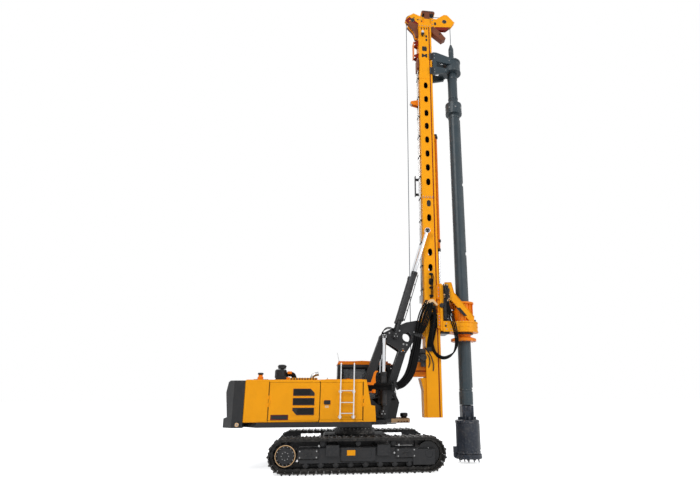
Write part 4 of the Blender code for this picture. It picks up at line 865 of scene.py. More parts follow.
def hood_top():
    """Hatches, vents, caps and pipes on top of the hood."""
    z = HOOD_TOP
    bm = bmesh.new()
    for x0, x1, y0, y1 in ((-3.16, -2.70, -0.95, 0.95), (-1.95, -1.22, 0.05, 1.30),
                           (-0.98, 0.14, -1.36, -0.66), (-2.60, -2.02, 0.10, 1.30)):
        plate(bm, "XY", z, z + 0.022, rounded((x0, y0), (x1, y1), 0.04))
    piece("hood_hatches", bm, YELLOW, "upper", bevel=0.006)
    bm = bmesh.new()
    for i in range(9):
        x = -3.12 + i * 0.048
        block(bm, (x, x + 0.012), (-0.88, 0.88), (z + 0.020, z + 0.038))
    for i in range(14):
        y = 0.16 + i * 0.082
        block(bm, (-2.55, -2.07), (y, y + 0.018), (z + 0.020, z + 0.034))
    piece("hood_grilles", bm, BLACK, "upper", bevel=0.001)
    bm = bmesh.new()
    plate(bm, "XY", z, z + 0.055, rounded((-2.04, -1.40), (-1.22, -0.98), 0.03))
    piece("vent_box", bm, YELLOW, "upper", bevel=0.008)
    bm = bmesh.new()
    # Black plates on the vent box: painted shade of its slots
    for i in range(10):
        x = -2.00 + i * 0.079
        plate(bm, "XZ", -1.412, -1.395, rounded((x, z + 0.008), (x + 0.05, z + 0.045), 0.01))
        plate(bm, "XY", z + 0.05, z + 0.062, rounded((x, -1.36), (x + 0.045, -1.02), 0.015))
    piece("vent_slot_shades", bm, BLACK, "upper", bevel=0.001)
    bm = bmesh.new()
    turned(bm, [(0.0, z + 0.15), (0.062, z + 0.15), (0.062, z + 0.09), (0.085, z + 0.09),
                (0.085, z), (0.0, z)], (-2.90, -1.12, 0))
    turned(bm, [(0.0, z + 0.05), (0.05, z + 0.05), (0.06, z + 0.03), (0.06, z + 0.008),
                (0.0, z + 0.008)], (-0.30, -1.20, 0))
    piece("filler_necks", bm, ORANGE, "upper", bevel=0.003)
    bm = bmesh.new()
    turned(bm, [(0.0, z + 0.215), (0.07, z + 0.21), (0.085, z + 0.195), (0.085, z + 0.165),
                (0.06, z + 0.15), (0.0, z + 0.15)], (-2.90, -1.12, 0), 12)
    turned(bm, [(0.0, z + 0.09), (0.06, z + 0.085), (0.072, z + 0.07), (0.072, z + 0.05),
                (0.0, z + 0.05)], (-0.30, -1.20, 0), 12)
    piece("filler_caps", bm, BLACK, "upper", bevel=0.004)
    bm = bmesh.new()
    for height in (2.64, 2.74, 2.80):
        turned(bm, [(0.184, height), (0.184, height + 0.022), (0.176, height + 0.022),
                    (0.176, height), (0.184, height)], (-2.36, -0.5, 0), 40)
    turned(bm, [(0.06, 2.93), (0.135, 2.93), (0.135, 2.965), (0.10, 3.0), (0.0, 3.01),
                (0.0, 2.93), (0.06, 2.93)], (-2.33, -0.5, 0), 32)
    piece("air_cleaner_bands", bm, BLACK, "upper", bevel=0.001)
    bm = bmesh.new()
    block(bm, (-2.15, -2.02), (-0.60, -0.50), (2.72, 2.80))
    block(bm, (-2.17, -2.06), (-0.72, -0.58), (z, z + 0.10))
    piece("air_cleaner_stay", bm, ORANGE, "upper", bevel=0.01)
    bm = bmesh.new()
    bent(bm, [(-2.20, -0.5, 2.70), (-2.08, -0.5, 2.72), (-1.98, -0.5, 2.69), (-1.94, -0.5, 2.60),
              (-1.94, -0.5, z)], 0.03, 0.072, 24)
    turned(bm, [(0.085, 0.0), (0.085, 0.03), (0.07, 0.03), (0.07, 0.0), (0.085, 0.0)],
           (-1.94, -0.5, z + 0.03), 28)
    piece("air_cleaner_elbow", bm, RUBBER, "upper")
    bm = bmesh.new()
    plate(bm, "XZ", -0.70, -0.675, [(-2.52, z), (-2.10, z), (-2.16, 2.66), (-2.46, 2.66)])
    plate(bm, "XZ", -0.325, -0.30, [(-2.52, z), (-2.10, z), (-2.16, 2.66), (-2.46, 2.66)])
    block(bm, (-2.54, -2.08), (-0.72, -0.28), (z, z + 0.012))
    piece("air_cleaner_bracket", bm, BLACK, "upper", bevel=0.003)
    bm = bmesh.new()
    turned(bm, [(0.068, 0.0), (0.068, 0.03), (0.058, 0.03), (0.058, 0.0), (0.068, 0.0)],
           (-1.40, -0.30, z + 0.05), 32)
    turned(bm, [(0.11, 0.0), (0.11, 0.012), (0.06, 0.02), (0.06, 0.0), (0.11, 0.0)],
           (-1.40, -0.30, z), 32)
    rod(bm, (-1.215, -0.30, 2.737), (-1.195, -0.30, 2.741), 0.066)
    piece("exhaust_clamps", bm, STEEL, "upper", bevel=0.001)
    bm = bmesh.new()
    for x, y in ((-3.13, 0.0), (-1.90, 0.68), (-0.92, -1.0)):
        bent(bm, [(x, y - 0.08, z + 0.02), (x, y - 0.07, z + 0.06), (x, y + 0.07, z + 0.06),
                  (x, y + 0.08, z + 0.02)], 0.02, 0.008, 10)
    piece("hatch_handles", bm, BLACK, "upper")
    bm = bmesh.new()
    for i in range(9):
        for j in range(5):
            diamond(bm, -0.90 + i * 0.12, -1.28 + j * 0.13, z + 0.022, 0.03, 0.007)
    piece("tread_marks", bm, YELLOW, "upper")


def counterweight_details():
    """Eyes, reflectors, lugs and bolts on the counterweight."""
    bm = bmesh.new()
    block(bm, (-3.845, -3.80), (-0.55, -0.40), (1.60, 1.75))
    block(bm, (-3.845, -3.80), (0.40, 0.55), (1.60, 1.75))
    piece("counterweight_eyes", bm, CHARCOAL, "upper", bevel=0.004)
    bm = bmesh.new()
    for side in SIDES:
        y = span(side, 0.72, 0.96)
        block(bm, (-3.835, -3.80), y, (2.02, 2.10))
    piece("rear_reflectors", bm, RED, "upper", bevel=0.008)
    bm = bmesh.new()
    bosses(bm, [(0.0, 0.0), (0.03, 0.0), (0.03, 0.008), (0.055, 0.008), (0.055, -0.03),
                (0.0, -0.03)], -3.42, 1.51, 1.29, 24)
    piece("counterweight_lugs", bm, BEIGE, "upper", bevel=0.003)
    bm = bmesh.new()
    for side in SIDES:
        bolt(bm, (-3.42, side * 1.51, 1.29), (0, side, 0), 0.022, 0.02)
    bolts(bm, [(-3.82, y, 1.32) for y in (-0.8, -0.3, 0.3, 0.8)], (-1, 0, 0), 0.024, 0.045)
    piece("counterweight_bolts", bm, STEEL, "upper")
    bm = bmesh.new()
    plate(bm, "YZ", -3.79, -3.775, rounded((-0.42, 2.20), (0.42, 2.38), 0.03))
    piece("counterweight_inset", bm, CHARCOAL, "upper", bevel=0.003)


def deck_details():
    """Steps, fittings and pipes on the deck in front of the hood."""
    bm = bmesh.new()
    block(bm, (1.42, 1.86), (0.70, 1.38), (1.342, 1.352))
    for i in range(5):
        for j in range(7):
            diamond(bm, 1.48 + i * 0.08, 0.76 + j * 0.095, 1.352, 0.025, 0.006)
    plate(bm, "XY", 1.215, 1.336, [(1.24, 0.495), (1.40, 0.541), (1.88, 0.621),
                                   (1.881, 1.40), (1.886, 1.40), (1.886, 0.614),
                                   (1.40, 0.534), (1.24, 0.488)])
    piece("platform_tread", bm, BEIGE, "upper", bevel=0.001)
    bm = bmesh.new()
    for i in range(4):
        x, y = 1.46 + 0.10 * i, 0.547 + 0.0167 * i
        block(bm, (x, x + 0.06), (y - 0.006, y + 0.02), (1.225, 1.262))
    piece("platform_slots", bm, BROWN, "upper")
    bm = bmesh.new()
    turned(bm, [(0.0, 1.52), (0.10, 1.515), (0.13, 1.49), (0.13, 1.40), (0.09, 1.38),
                (0.09, 1.34), (0.0, 1.34)], (1.71, 0.80, 0), 32)
    block(bm, (0.98, 1.30), (-0.40, -0.10), (1.21, 1.225))
    piece("platform_cap", bm, BLACK, "upper", bevel=0.004)
    bm = bmesh.new()
    for side in SIDES:
        for x, z in ((-0.22, 1.47), (0.02, 1.47), (0.55, 1.47), (0.30, 1.60)):
            bolt(bm, (x, side * 0.275, z), (0, side, 0), 0.020, 0.016)
    piece("ear_bolts", bm, STEEL, "upper")
    bm = bmesh.new()
    block(bm, (-0.10, 0.28), (-0.42, 0.42), (1.342, 1.62))
    block(bm, (-0.06, 0.24), (-0.38, 0.38), (1.62, 1.68))
    for i in range(6):
        y = -0.30 + i * 0.12
        rod(bm, (0.28, y, 1.52), (0.34, y, 1.52), 0.028, sides=6)
    for i in range(4):
        y = -0.27 + i * 0.18
        rod(bm, (0.08, y, 1.68), (0.08, y, 1.76), 0.035, sides=12)
    piece("valve_block", bm, STEEL, "upper", bevel=0.006)
    bm = bmesh.new()
    block(bm, (-0.98, -0.30), (-0.46, 0.46), (1.342, 1.95))
    block(bm, (-0.94, -0.34), (-0.42, 0.42), (1.95, 1.99))
    piece("pump_cover", bm, CHARCOAL, "upper", bevel=0.02)
    bm = bmesh.new()
    horn = [(0.40, 2.43), (0.51, 2.76), (0.56, 2.81), (0.64, 2.80), (0.57, 2.73),
            (0.55, 2.61), (0.56, 2.45), (0.47, 2.40)]
    plate(bm, "XZ", -1.02, -0.98, horn)
    block(bm, (0.24, 0.50), (-1.03, -0.97), (2.38, 2.46))
    turned(bm, [(0.0, 2.25), (0.045, 2.25), (0.06, 2.23), (0.06, 2.15), (0.03, 2.14),
                (0.0, 2.14)], (0.50, -1.0, 0), 24)
    block(bm, (0.30, 0.50), (-1.02, -0.98), (2.16, 2.19))
    piece("front_hooks", bm, ORANGE, "upper", bevel=0.003)


hood_details()
hood_top()
counterweight_details()
deck_details()


# Cab

def cab_seals():
    """The seal round the cab's right window."""
    bm = bmesh.new()
    outer = [(-0.43, 1.92), (1.385, 1.92), (1.145, 2.455), (1.115, 2.99), (-0.43, 2.99)]
    inner = [(-0.37, 1.98), (1.325, 1.98), (1.09, 2.455), (1.065, 2.93), (-0.37, 2.93)]
    plate(bm, "XZ", 0.522, 0.532, outer, inner)
    piece("cab_window_seal_right", bm, RUBBER, "upper", bevel=0.0015)


def cab_roof_details():
    """The visor, the roof rails, the lamps and the antenna."""
    bm = bmesh.new()
    block(bm, (1.20, 1.34), (0.60, 1.40), (3.075, 3.095))
    for y in (0.66, 1.34):
        block(bm, (-0.55, 1.15), around(y, 0.012), (3.155, 3.20))
    piece("cab_visor", bm, ORANGE, "upper", bevel=0.006)
    bm = bmesh.new()
    for y in (0.68, 1.32):
        block(bm, (1.24, 1.32), around(y, 0.07), (2.975, 3.074))
    block(bm, (1.24, 1.36), (0.56, 0.68), (2.68, 2.86))
    block(bm, (1.20, 1.26), (0.59, 0.62), (2.66, 2.95))
    rod(bm, (-0.52, 0.64, 3.16), (-0.60, 0.64, 3.48), 0.006, 0.003, 8)
    piece("cab_lamp_housings", bm, BLACK, "upper", bevel=0.006)
    bm = bmesh.new()
    for y in (0.68, 1.32):
        block(bm, (1.318, 1.326), around(y, 0.055), (2.985, 3.062))
    rod(bm, (1.36, 0.62, 2.80), (1.372, 0.62, 2.80), 0.035)
    rod(bm, (1.36, 0.62, 2.73), (1.372, 0.62, 2.73), 0.022)
    piece("lamp_lenses", bm, LENS, "upper", bevel=0.002)
    bm = bmesh.new()
    block(bm, (1.235, 1.365), (0.555, 0.685), (2.86, 2.885))
    piece("lamp_cap", bm, ORANGE, "upper", bevel=0.008)


def cab_outside():
    """Handrails, wiper, mirror and the door's seal and handle."""
    bm = bmesh.new()
    for points in ([(-0.26, 1.472, 1.60), (-0.26, 1.52, 1.64), (-0.26, 1.52, 2.60),
                    (-0.26, 1.472, 2.66)],
                   [(1.46, 1.42, 1.56), (1.53, 1.50, 1.60), (1.53, 1.50, 2.20),
                    (1.36, 1.42, 2.26)]):
        bent(bm, points, 0.03, 0.013, 12)
    piece("cab_handrails", bm, BLACK, "upper")
    bm = bmesh.new()
    rod(bm, (1.30, 0.72, 2.99), (1.33, 0.72, 2.99), 0.03)
    bent(bm, [(1.235, 1.0, 2.99), (1.26, 1.0, 2.97), (1.27, 0.98, 2.55), (1.39, 0.90, 2.28)], 0.03,
         0.008, 8)
    block(bm, (1.30, 1.335), (0.86, 0.875), (2.10, 2.62), Matrix.Rotation(
        math.radians(-24), 4, "Y"))
    piece("cab_wiper", bm, BLACK, "upper")
    bm = bmesh.new()
    bent(bm, [(1.22, 1.44, 2.90), (1.34, 1.52, 2.92), (1.46, 1.60, 2.86)], 0.03, 0.011, 10)
    plate(bm, "YZ", 1.44, 1.475, rounded((1.52, 2.48), (1.70, 2.86), 0.04))
    piece("cab_mirror", bm, BLACK, "upper", bevel=0.006)
    bm = bmesh.new()
    plate(bm, "YZ", 1.436, 1.441, rounded((1.535, 2.495), (1.685, 2.845), 0.03))
    piece("cab_mirror_glass", bm, CHROME, "upper")
    bm = bmesh.new()
    x0, x1 = -0.135, 0.975
    plate(bm, "XZ", 1.460, 1.468, rounded((x0, 1.94), (x1, 2.935), 0.03),
          rounded((x0 + 0.04, 1.985), (x1 - 0.04, 2.89), 0.02))
    piece("cab_door_seal", bm, RUBBER, "cab_door", bevel=0.0015)
    bm = bmesh.new()
    plate(bm, "XZ", 1.460, 1.470, rounded((0.86, 1.76), (1.02, 1.86), 0.02))
    bent(bm, [(0.90, 1.468, 1.83), (0.90, 1.50, 1.83), (0.99, 1.50, 1.83), (0.99, 1.468, 1.83)],
         0.02, 0.008, 10)
    piece("cab_door_handle", bm, BLACK, "cab_door", bevel=0.002)


def cab_inside():
    """Levers, pedals, console, screen and the seat's cushions."""
    bm = bmesh.new()
    for y in (0.70, 1.30):
        turned(bm, [(0.0, 0.0), (0.035, 0.0), (0.04, -0.03), (0.03, -0.08), (0.0, -0.08)],
               (0.58, y, 2.06), 20)
        rod(bm, (0.58, y, 2.05), (0.60, y, 2.13), 0.013, sides=14)
        turned(bm, [(0.0, 0.12), (0.016, 0.115), (0.026, 0.09), (0.024, 0.04), (0.019, 0.0),
                    (0.0, 0.0)], (0.60, y, 2.12), 20)
    for y in (0.88, 1.12):
        rod(bm, (1.02, y, 1.43), (0.98, y, 1.62), 0.014, sides=12)
        block(bm, (0.93, 1.03), around(y, 0.05), (1.61, 1.63),
              Matrix.Rotation(math.radians(-40), 4, "Y"))
    block(bm, (1.12, 1.30), (0.64, 0.76), (1.43, 2.02))
    plate(bm, "YZ", 1.00, 1.03, rounded((0.62, 2.02), (0.92, 2.24), 0.02))
    piece("cab_controls", bm, BLACK, "upper", bevel=0.004)
    bm = bmesh.new()
    plate(bm, "YZ", 0.996, 1.001, rounded((0.64, 2.04), (0.90, 2.22), 0.012))
    piece("cab_screen", bm, GLASS, "upper")
    bm = bmesh.new()
    plate(bm, "XZ", 0.80, 1.20, rounded((0.16, 1.86), (0.60, 1.93), 0.03))
    plate(bm, "XZ", 0.82, 1.18, rounded((0.13, 1.92), (0.20, 2.48), 0.03))
    plate(bm, "XZ", 0.90, 1.10, rounded((0.02, 2.54), (0.11, 2.72), 0.03))
    for y in (0.95, 1.05):
        rod(bm, (0.065, y, 2.48), (0.065, y, 2.58), 0.008, sides=8)
    cushion = piece("seat_cushions", bm, SEAT, "upper", bevel=0.022)
    cushion.modifiers["edges"].segments = 4


cab_seals()
cab_roof_details()
cab_outside()
cab_inside()


# Luffing gear: pins, cylinders and their hoses

BOOM_FOOT = (0.86, 1.55)
BOOM_TOP = (1.53, 3.49)
LINK_FOOT = (0.23, 1.99)
LINK_TOP = (0.90, 3.93)
MAST_PIN = (2.06, 4.30)
CYL_FOOT = (1.27, 3.96)
CYL_EYE = (2.42, 7.65)
LUFF_Y = 0.402
MAST_CYL_Y = 0.405


def pin_cap(name, at, y, r, body, sides=SIDES):
    """A keeper plate with its bolts on the end of a pin."""
    bm = bmesh.new()
    bosses(bm, [(0.0, 0.012), (r * 0.9, 0.012), (r, 0.006), (r, -0.004), (0.0, -0.004)],
           at[0], y, at[1], 32, sides)
    bosses(bm, [(0.0, 0.022), (r * 0.22, 0.022), (r * 0.30, 0.012), (0.0, 0.012)],
           at[0], y, at[1], 16, sides)
    piece(name, bm, BLACK, body)
    bm = bmesh.new()
    for side in sides:
        for i in range(3):
            a = math.radians(90 + 120 * i)
            bolt(bm, (at[0] + 0.62 * r * math.cos(a), side * (y + 0.012),
                      at[1] + 0.62 * r * math.sin(a)), (0, side, 0), 0.012, 0.010)
    piece(name + "_bolts", bm, STEEL, body)


def pin_caps():
    """The caps on all pins of the luffing gear."""
    pin_cap("boom_foot_cap", BOOM_FOOT, 0.476, 0.085, "boom")
    pin_cap("boom_top_cap", BOOM_TOP, 0.283, 0.09, "boom")
    pin_cap("link_foot_cap", LINK_FOOT, 0.283, 0.09, "link")
    pin_cap("cylinder_foot_cap", CYL_FOOT, 0.476, 0.085, "triangle")
    pin_cap("mast_pin_cap", MAST_PIN, 0.283, 0.10, "mast")
    for side, name in SIDE_NAMES:
        pin_cap("luff_eye_cap_" + name, LINK_TOP, 0.467, 0.06, "luff_rod_" + name, (side,))
        pin_cap("mast_eye_cap_" + name, CYL_EYE, 0.470, 0.08, "mast_rod_" + name, (side,))
    bm = bmesh.new()
    bosses(bm, [(0.0, 0.034), (0.016, 0.030), (0.022, 0.022), (0.0, 0.022)],
           BOOM_TOP[0], 0.283, BOOM_TOP[1], 16)
    piece("grease_caps", bm, ORANGE, "boom")


def along(a, b, distance, across=0.0):
    """A point on the way from a to b, moved sideways by across."""
    length = math.dist(a, b)
    u, v = (b[0] - a[0]) / length, (b[1] - a[1]) / length
    return (a[0] + u * distance - v * across, a[1] + v * distance + u * across)


def collar(bm, a, b, r, proud):
    """An open ring let into a barrel of radius r, so that a rod runs free inside."""
    turn = (Vector(b) - Vector(a)).to_track_quat("Z", "Y").to_matrix().to_4x4()
    height = math.dist(a, b)
    inner = r - 0.006
    outer = r + proud
    ring(bm, inner, outer, 0, height, a, 32, turn)


def cylinder_dress(name, foot, eye, y, side, r, length, neck, barrel, front=1):
    """Gland, rings, pipe and ports on one hydraulic cylinder."""
    def at(distance, across=0.0, out=0.0):
        u, v = along(foot, eye, distance, across)
        return (u, side * (y + out), v)

    bm = bmesh.new()
    collar(bm, at(length - 0.09), at(length - 0.004), r, 0.014)
    collar(bm, at(length - 0.13), at(length - 0.10), r, 0.007)
    collar(bm, at(neck + 0.01), at(neck + 0.06), r, 0.008)
    for share in (0.35, 0.65):
        d = neck + (length - neck) * share
        collar(bm, at(d - 0.012), at(d + 0.012), r, 0.006)
    piece(name + "_rings", bm, BLACK, barrel, bevel=0.003)
    bm = bmesh.new()
    for i in range(6):
        a = math.radians(60 * i)
        u = (r - 0.02) * math.cos(a)
        v = (r - 0.02) * math.sin(a)
        ahead = Vector(at(length)) - Vector(at(0))
        bolt(bm, at(length - 0.004, u, v), ahead, 0.010, 0.008)
    piece(name + "_gland_bolts", bm, STEEL, barrel)
    bm = bmesh.new()
    d0, d1 = neck + 0.10, length - 0.12
    path = [at(d, front * across) for d, across in
            ((d0, r - 0.01), (d0, r + 0.035), (d0 + 0.05, r + 0.045),
             (d1 - 0.05, r + 0.045), (d1, r + 0.035), (d1, r - 0.01))]
    bent(bm, path, 0.04, 0.012, 10)
    for share in (0.2, 0.5, 0.8):
        d = d0 + (d1 - d0) * share
        x, out_y, z = at(d, front * (r + 0.035))
        block(bm, around(x, 0.02), around(out_y, 0.018), around(z, 0.02))
    rod(bm, at(neck + 0.06, front * (r - 0.02)), at(neck + 0.06, front * (r + 0.05)), 0.02,
        sides=16)
    piece(name + "_pipe", bm, BLACK, barrel, bevel=0.002)


def cylinders():
    """The trim of the two luff cylinders and the two mast cylinders."""
    for side, name in SIDE_NAMES:
        cylinder_dress("luff_cylinder_" + name, BOOM_FOOT, LINK_TOP, LUFF_Y, side, 0.105,
                       1.25, 0.22, "luff_barrel_" + name)
        cylinder_dress("mast_cylinder_" + name, CYL_FOOT, CYL_EYE, MAST_CYL_Y, side, 0.095,
                       2.28, 0.52, "mast_barrel_" + name, front=-1)


def arm_details():
    """Raised edge strips and weld seams on the arms and the triangle."""
    for name, foot, top, body, half in (("boom_arm_strips", BOOM_FOOT, BOOM_TOP, "boom", 0.085),
                                        ("link_arm_strips", LINK_FOOT, LINK_TOP, "link", 0.09)):
        bm = bmesh.new()
        for side in SIDES:
            y = span(side, 0.2, 0.2415)
            length = math.dist(foot, top)
            for across in (-half, half):
                a = along(foot, top, 0.30, across)
                b = along(foot, top, length - 0.26, across * 0.92)
                c = along(foot, top, length - 0.26, across * 0.92 - math.copysign(0.018, across))
                d = along(foot, top, 0.30, across - math.copysign(0.018, across))
                plate(bm, "XZ", *y, [a, b, c, d])
        for share in (0.33, 0.62):
            middle = along(foot, top, math.dist(foot, top) * share)
            rod(bm, (middle[0], -0.125, middle[1]), (middle[0], 0.125, middle[1]), 0.045)
        piece(name, bm, CHARCOAL, body, bevel=0.002)
    bm = bmesh.new()
    for side in SIDES:
        y = span(side, 0.2755, 0.290)
        plate(bm, "XZ", *y, circle((1.68, 3.94), 0.19, 32), circle((1.68, 3.94), 0.162, 32))
    piece("triangle_window_ring", bm, CHARCOAL, "triangle", bevel=0.002)
    bm = bmesh.new()
    for side in SIDES:
        for x, z in ((1.55, 3.70), (1.66, 3.68), (1.42, 4.14), (1.92, 4.10), (1.08, 4.06)):
            bolt(bm, (x, side * 0.275, z), (0, side, 0), 0.020, 0.015)
    piece("triangle_bolts", bm, STEEL, "triangle")


# Places in a bundle: along the row, and how many hoses further out
BUNDLE = ((-0.5, 0), (0.5, 0), (-1.5, 0), (1.5, 0), (0.0, 1), (1.0, 1), (-1.0, 1), (2.0, 1))
HOSE_R = 0.023
ROW_STEP = 0.048
LAYER_STEP = 0.039


def joined_hose(name, points, r, bodies):
    """A hose curved between two bodies; its end fittings ride on them, the hose itself on neither.
    """
    path = smooth_path(points)
    bm = bmesh.new()
    sweep(bm, path, r)
    obj = mesh_object(name, bm, RUBBER)
    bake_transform(obj)
    ends = ((path[0], path[2], bodies[0]), (path[-1], path[-3], bodies[1]))
    for number, (near, far, body) in enumerate(ends):
        way = (far - near).normalized()
        bm = bmesh.new()
        rod(bm, near, near + way * 0.07, r * 1.25, sides=12)
        rod(bm, near + way * 0.012, near + way * 0.035, r * 1.5, sides=6)
        piece(name + "_end_" + str(number + 1), bm, BLACK, body)


def hose_bundle(name, points, bodies, belly=0.0, wide_end=1.0):
    """Hoses side by side in the plane of the arms, in two layers."""
    last = len(points) - 1
    for i, (row, layer) in enumerate(BUNDLE):
        moved = []
        for k, p in enumerate(points):
            ahead = Vector(points[min(k + 1, last)]) - Vector(points[max(k - 1, 0)])
            across = Vector((0, 1, 0)).cross(ahead).normalized()
            free = math.sin(math.pi * k / last)
            wide = 1 + belly * free + (wide_end - 1) * k / last
            out = layer * LAYER_STEP + 0.012 * free * ((3 * i) % 5)
            moved.append(Vector(p) + across * row * ROW_STEP * wide - Vector((0, out, 0)))
        joined_hose(name + "_" + str(i + 1), moved, HOSE_R, bodies)


def hose_holder(name, x, y, z, body):
    """A bracket plate or a clamp block that carries the hoses."""
    bm = bmesh.new()
    block(bm, x, y, z)
    piece(name, bm, BLACK, body, bevel=0.008)


def main_hoses():
    """The hoses from the upper structure up to the mast, held on each part."""
    hose_holder("boom_hose_bracket", (1.165, 1.215), (-0.71, -0.225), (2.20, 2.50), "boom")
    hose_bundle("hose_deck_boom", [(0.300, -0.62, 2.30), (0.44, -0.63, 2.33),
                                   (0.62, -0.64, 2.355), (0.86, -0.64, 2.36),
                                   (1.03, -0.63, 2.35), (1.165, -0.62, 2.35)],
                ("upper", "boom"))
    hose_bundle("hose_boom_triangle", [(1.215, -0.62, 2.35), (1.42, -0.62, 2.44),
                                       (1.62, -0.58, 2.66), (1.76, -0.53, 2.97),
                                       (1.85, -0.47, 3.30), (1.95, -0.38, 3.64),
                                       (2.03, -0.305, 4.00)],
                ("boom", "triangle"), 0.4, 1.2)
    hose_bundle("hose_triangle_mast", [(2.03, -0.305, 4.01), (2.07, -0.38, 4.18),
                                       (2.14, -0.42, 4.40), (2.23, -0.42, 4.68),
                                       (2.35, -0.36, 4.94), (2.44, -0.302, 5.14)],
                ("triangle", "mast"), 0.9, 1.4)
    hose_holder("triangle_hose_clamp", (1.89, 2.19), (-0.378, -0.274), (3.975, 4.035),
                "triangle")
    bm = bmesh.new()
    plate(bm, "XZ", -0.375, -0.279, [(2.29, 5.10), (2.30, 5.02), (2.56, 5.12), (2.71, 4.98),
                                     (2.74, 5.04), (2.58, 5.21), (2.50, 5.21)])
    piece("mast_hose_clamp", bm, BEIGE, "mast", bevel=0.008)
    for i in range(2):
        y = -0.297 - 0.005 * i
        hose("hose_over_triangle_" + str(i + 1),
             [(0.83 + 0.03 * i, y, 3.98), (0.84 + 0.03 * i, y + 0.010, 4.08 + 0.02 * i),
              (0.965, y + 0.013, 4.185 + 0.035 * i), (1.12, y + 0.013, 4.20 + 0.04 * i),
              (1.24, y + 0.005, 4.12 + 0.04 * i)], 0.016, "triangle")


def mast_drop_hoses():
    """Hoses down the mast's side behind the bundle, into a block beside the winch."""
    hose_holder("mast_drop_block", (2.32, 2.56), (-0.335, -0.274), (3.47, 3.61), "mast")
    fittings = bmesh.new()
    for i in range(5):
        top = (2.46 + 0.050 * i, -0.298, 4.76)
        hose("mast_drop_hose_" + str(i + 1),
             [top, (2.475 + 0.050 * i, -0.320, 4.60), (2.47 + 0.049 * i, -0.325, 4.32),
              (2.42 + 0.047 * i, -0.325, 4.02), (2.37 + 0.045 * i, -0.320, 3.80),
              (2.35 + 0.045 * i, -0.300, 3.58)], HOSE_R, "mast")
        rod(fittings, top, (top[0] + 0.005, top[1] - 0.007, top[2] - 0.06), HOSE_R * 1.25,
            sides=12)
        rod(fittings, (top[0], -0.275, top[2]), top, HOSE_R * 1.4, sides=6)
    piece("mast_drop_fittings", fittings, BLACK, "mast")


pin_caps()
cylinders()
arm_details()
main_hoses()
mast_drop_hoses()


# Mast, its head, the winch and what runs along them

MAST_X = (2.30, 2.70)
RAIL_X = (2.74, 2.81)
MAST_Y = 0.28
MAST_Z = (1.39, 16.45)
SPLIT_Z = 8.98
HOLE_Z = (6.34, 6.90, 8.19, 9.59, 10.17, 10.74, 11.32, 11.90, 12.46, 13.07, 13.68)
SHEAVE_REAR = (2.09, 16.90)
SHEAVE_FRONT = (3.43, 16.96)
WINCH = (2.04, 3.25)
CROWD = (2.91, 7.02, 11.70)


def mast_skin():
    """Plates, seams and hole rims on the sides of the mast, with painted shade: black plates for
    openings and a dark strip in the rail groove.
    """
    bm = bmesh.new()
    for z in HOLE_Z:
        for side in SIDES:
            y = span(side, MAST_Y, MAST_Y + 0.005)
            plate(bm, "XZ", *y, slot_outline((2.53, z), 0.185, 0.315),
                  slot_outline((2.53, z), 0.152, 0.282))
    piece("mast_hole_rims", bm, YELLOW, "mast")
    bm = bmesh.new()
    # Black slot plates on the mast's sides: painted shade of openings
    for z in (5.84, 8.745):
        for side in SIDES:
            y = span(side, MAST_Y - 0.002, MAST_Y + 0.0015)
            plate(bm, "XZ", *y, slot_outline((2.53, z), 0.152, 0.25))
    piece("mast_low_opening_shades", bm, BLACK, "mast")
    bm = bmesh.new()
    # A dark red strip in the groove between box and rail: painted shade of the groove
    for side in SIDES:
        y = span(side, 0.2455, MAST_Y - 0.004)
        block(bm, (MAST_X[1] + 0.001, RAIL_X[0] - 0.001), y, (MAST_Z[0] + 0.02, MAST_Z[1] - 0.02))
    piece("mast_rail_groove_shade", bm, RED, "mast")
    bm = bmesh.new()
    for z, half in ((SPLIT_Z, 0.035), (MAST_Z[1] - 0.03, 0.025)):
        for side in SIDES:
            y = span(side, MAST_Y - 0.002, MAST_Y + 0.018)
            block(bm, (MAST_X[0] - 0.012, MAST_X[1] - 0.01), y, (z - half, z - 0.002))
            block(bm, (MAST_X[0] - 0.012, MAST_X[1] - 0.01), y, (z + 0.002, z + half))
        block(bm, (MAST_X[0] - 0.022, MAST_X[0] + 0.002), (-MAST_Y, MAST_Y),
              (z - half, z + half))
    piece("mast_flanges", bm, YELLOW, "mast", bevel=0.004)
    bm = bmesh.new()
    for dz in (-0.012, 0.012):
        for side in SIDES:
            bolts(bm, [(2.33 + 0.085 * i, side * (MAST_Y + 0.018), SPLIT_Z + 2 * dz)
                       for i in range(5)], (0, side, 0), 0.012, 0.010)
        bolts(bm, [(MAST_X[0] - 0.022, -0.21 + 0.105 * i, SPLIT_Z + 1.6 * dz)
                   for i in range(5)], (-1, 0, 0), 0.012, 0.010)
    piece("mast_flange_bolts", bm, STEEL, "mast")
    bm = bmesh.new()
    for z in (4.9, 6.0, 7.5, 14.0):
        for side in SIDES:
            y = span(side, MAST_Y, MAST_Y + 0.006)
            block(bm, (2.33, 2.67), y, around(z, 0.004))
    for z in (2.0, 3.0, 4.95):
        block(bm, (MAST_X[0] - 0.006, MAST_X[0]), (-MAST_Y + 0.02, MAST_Y - 0.02), around(z, 0.005))
    piece("mast_welds", bm, YELLOW, "mast")


# Cut-outs near the top, drawn as black plates of painted shade: plane outline's centre, width,
# height
TOP_OPENINGS = ((2.605, 15.975, 0.075, 0.12), (2.605, 15.81, 0.075, 0.12),
                (2.41, 16.34, 0.045, 0.10), (2.53, 16.35, 0.045, 0.10),
                (2.63, 16.36, 0.045, 0.10))


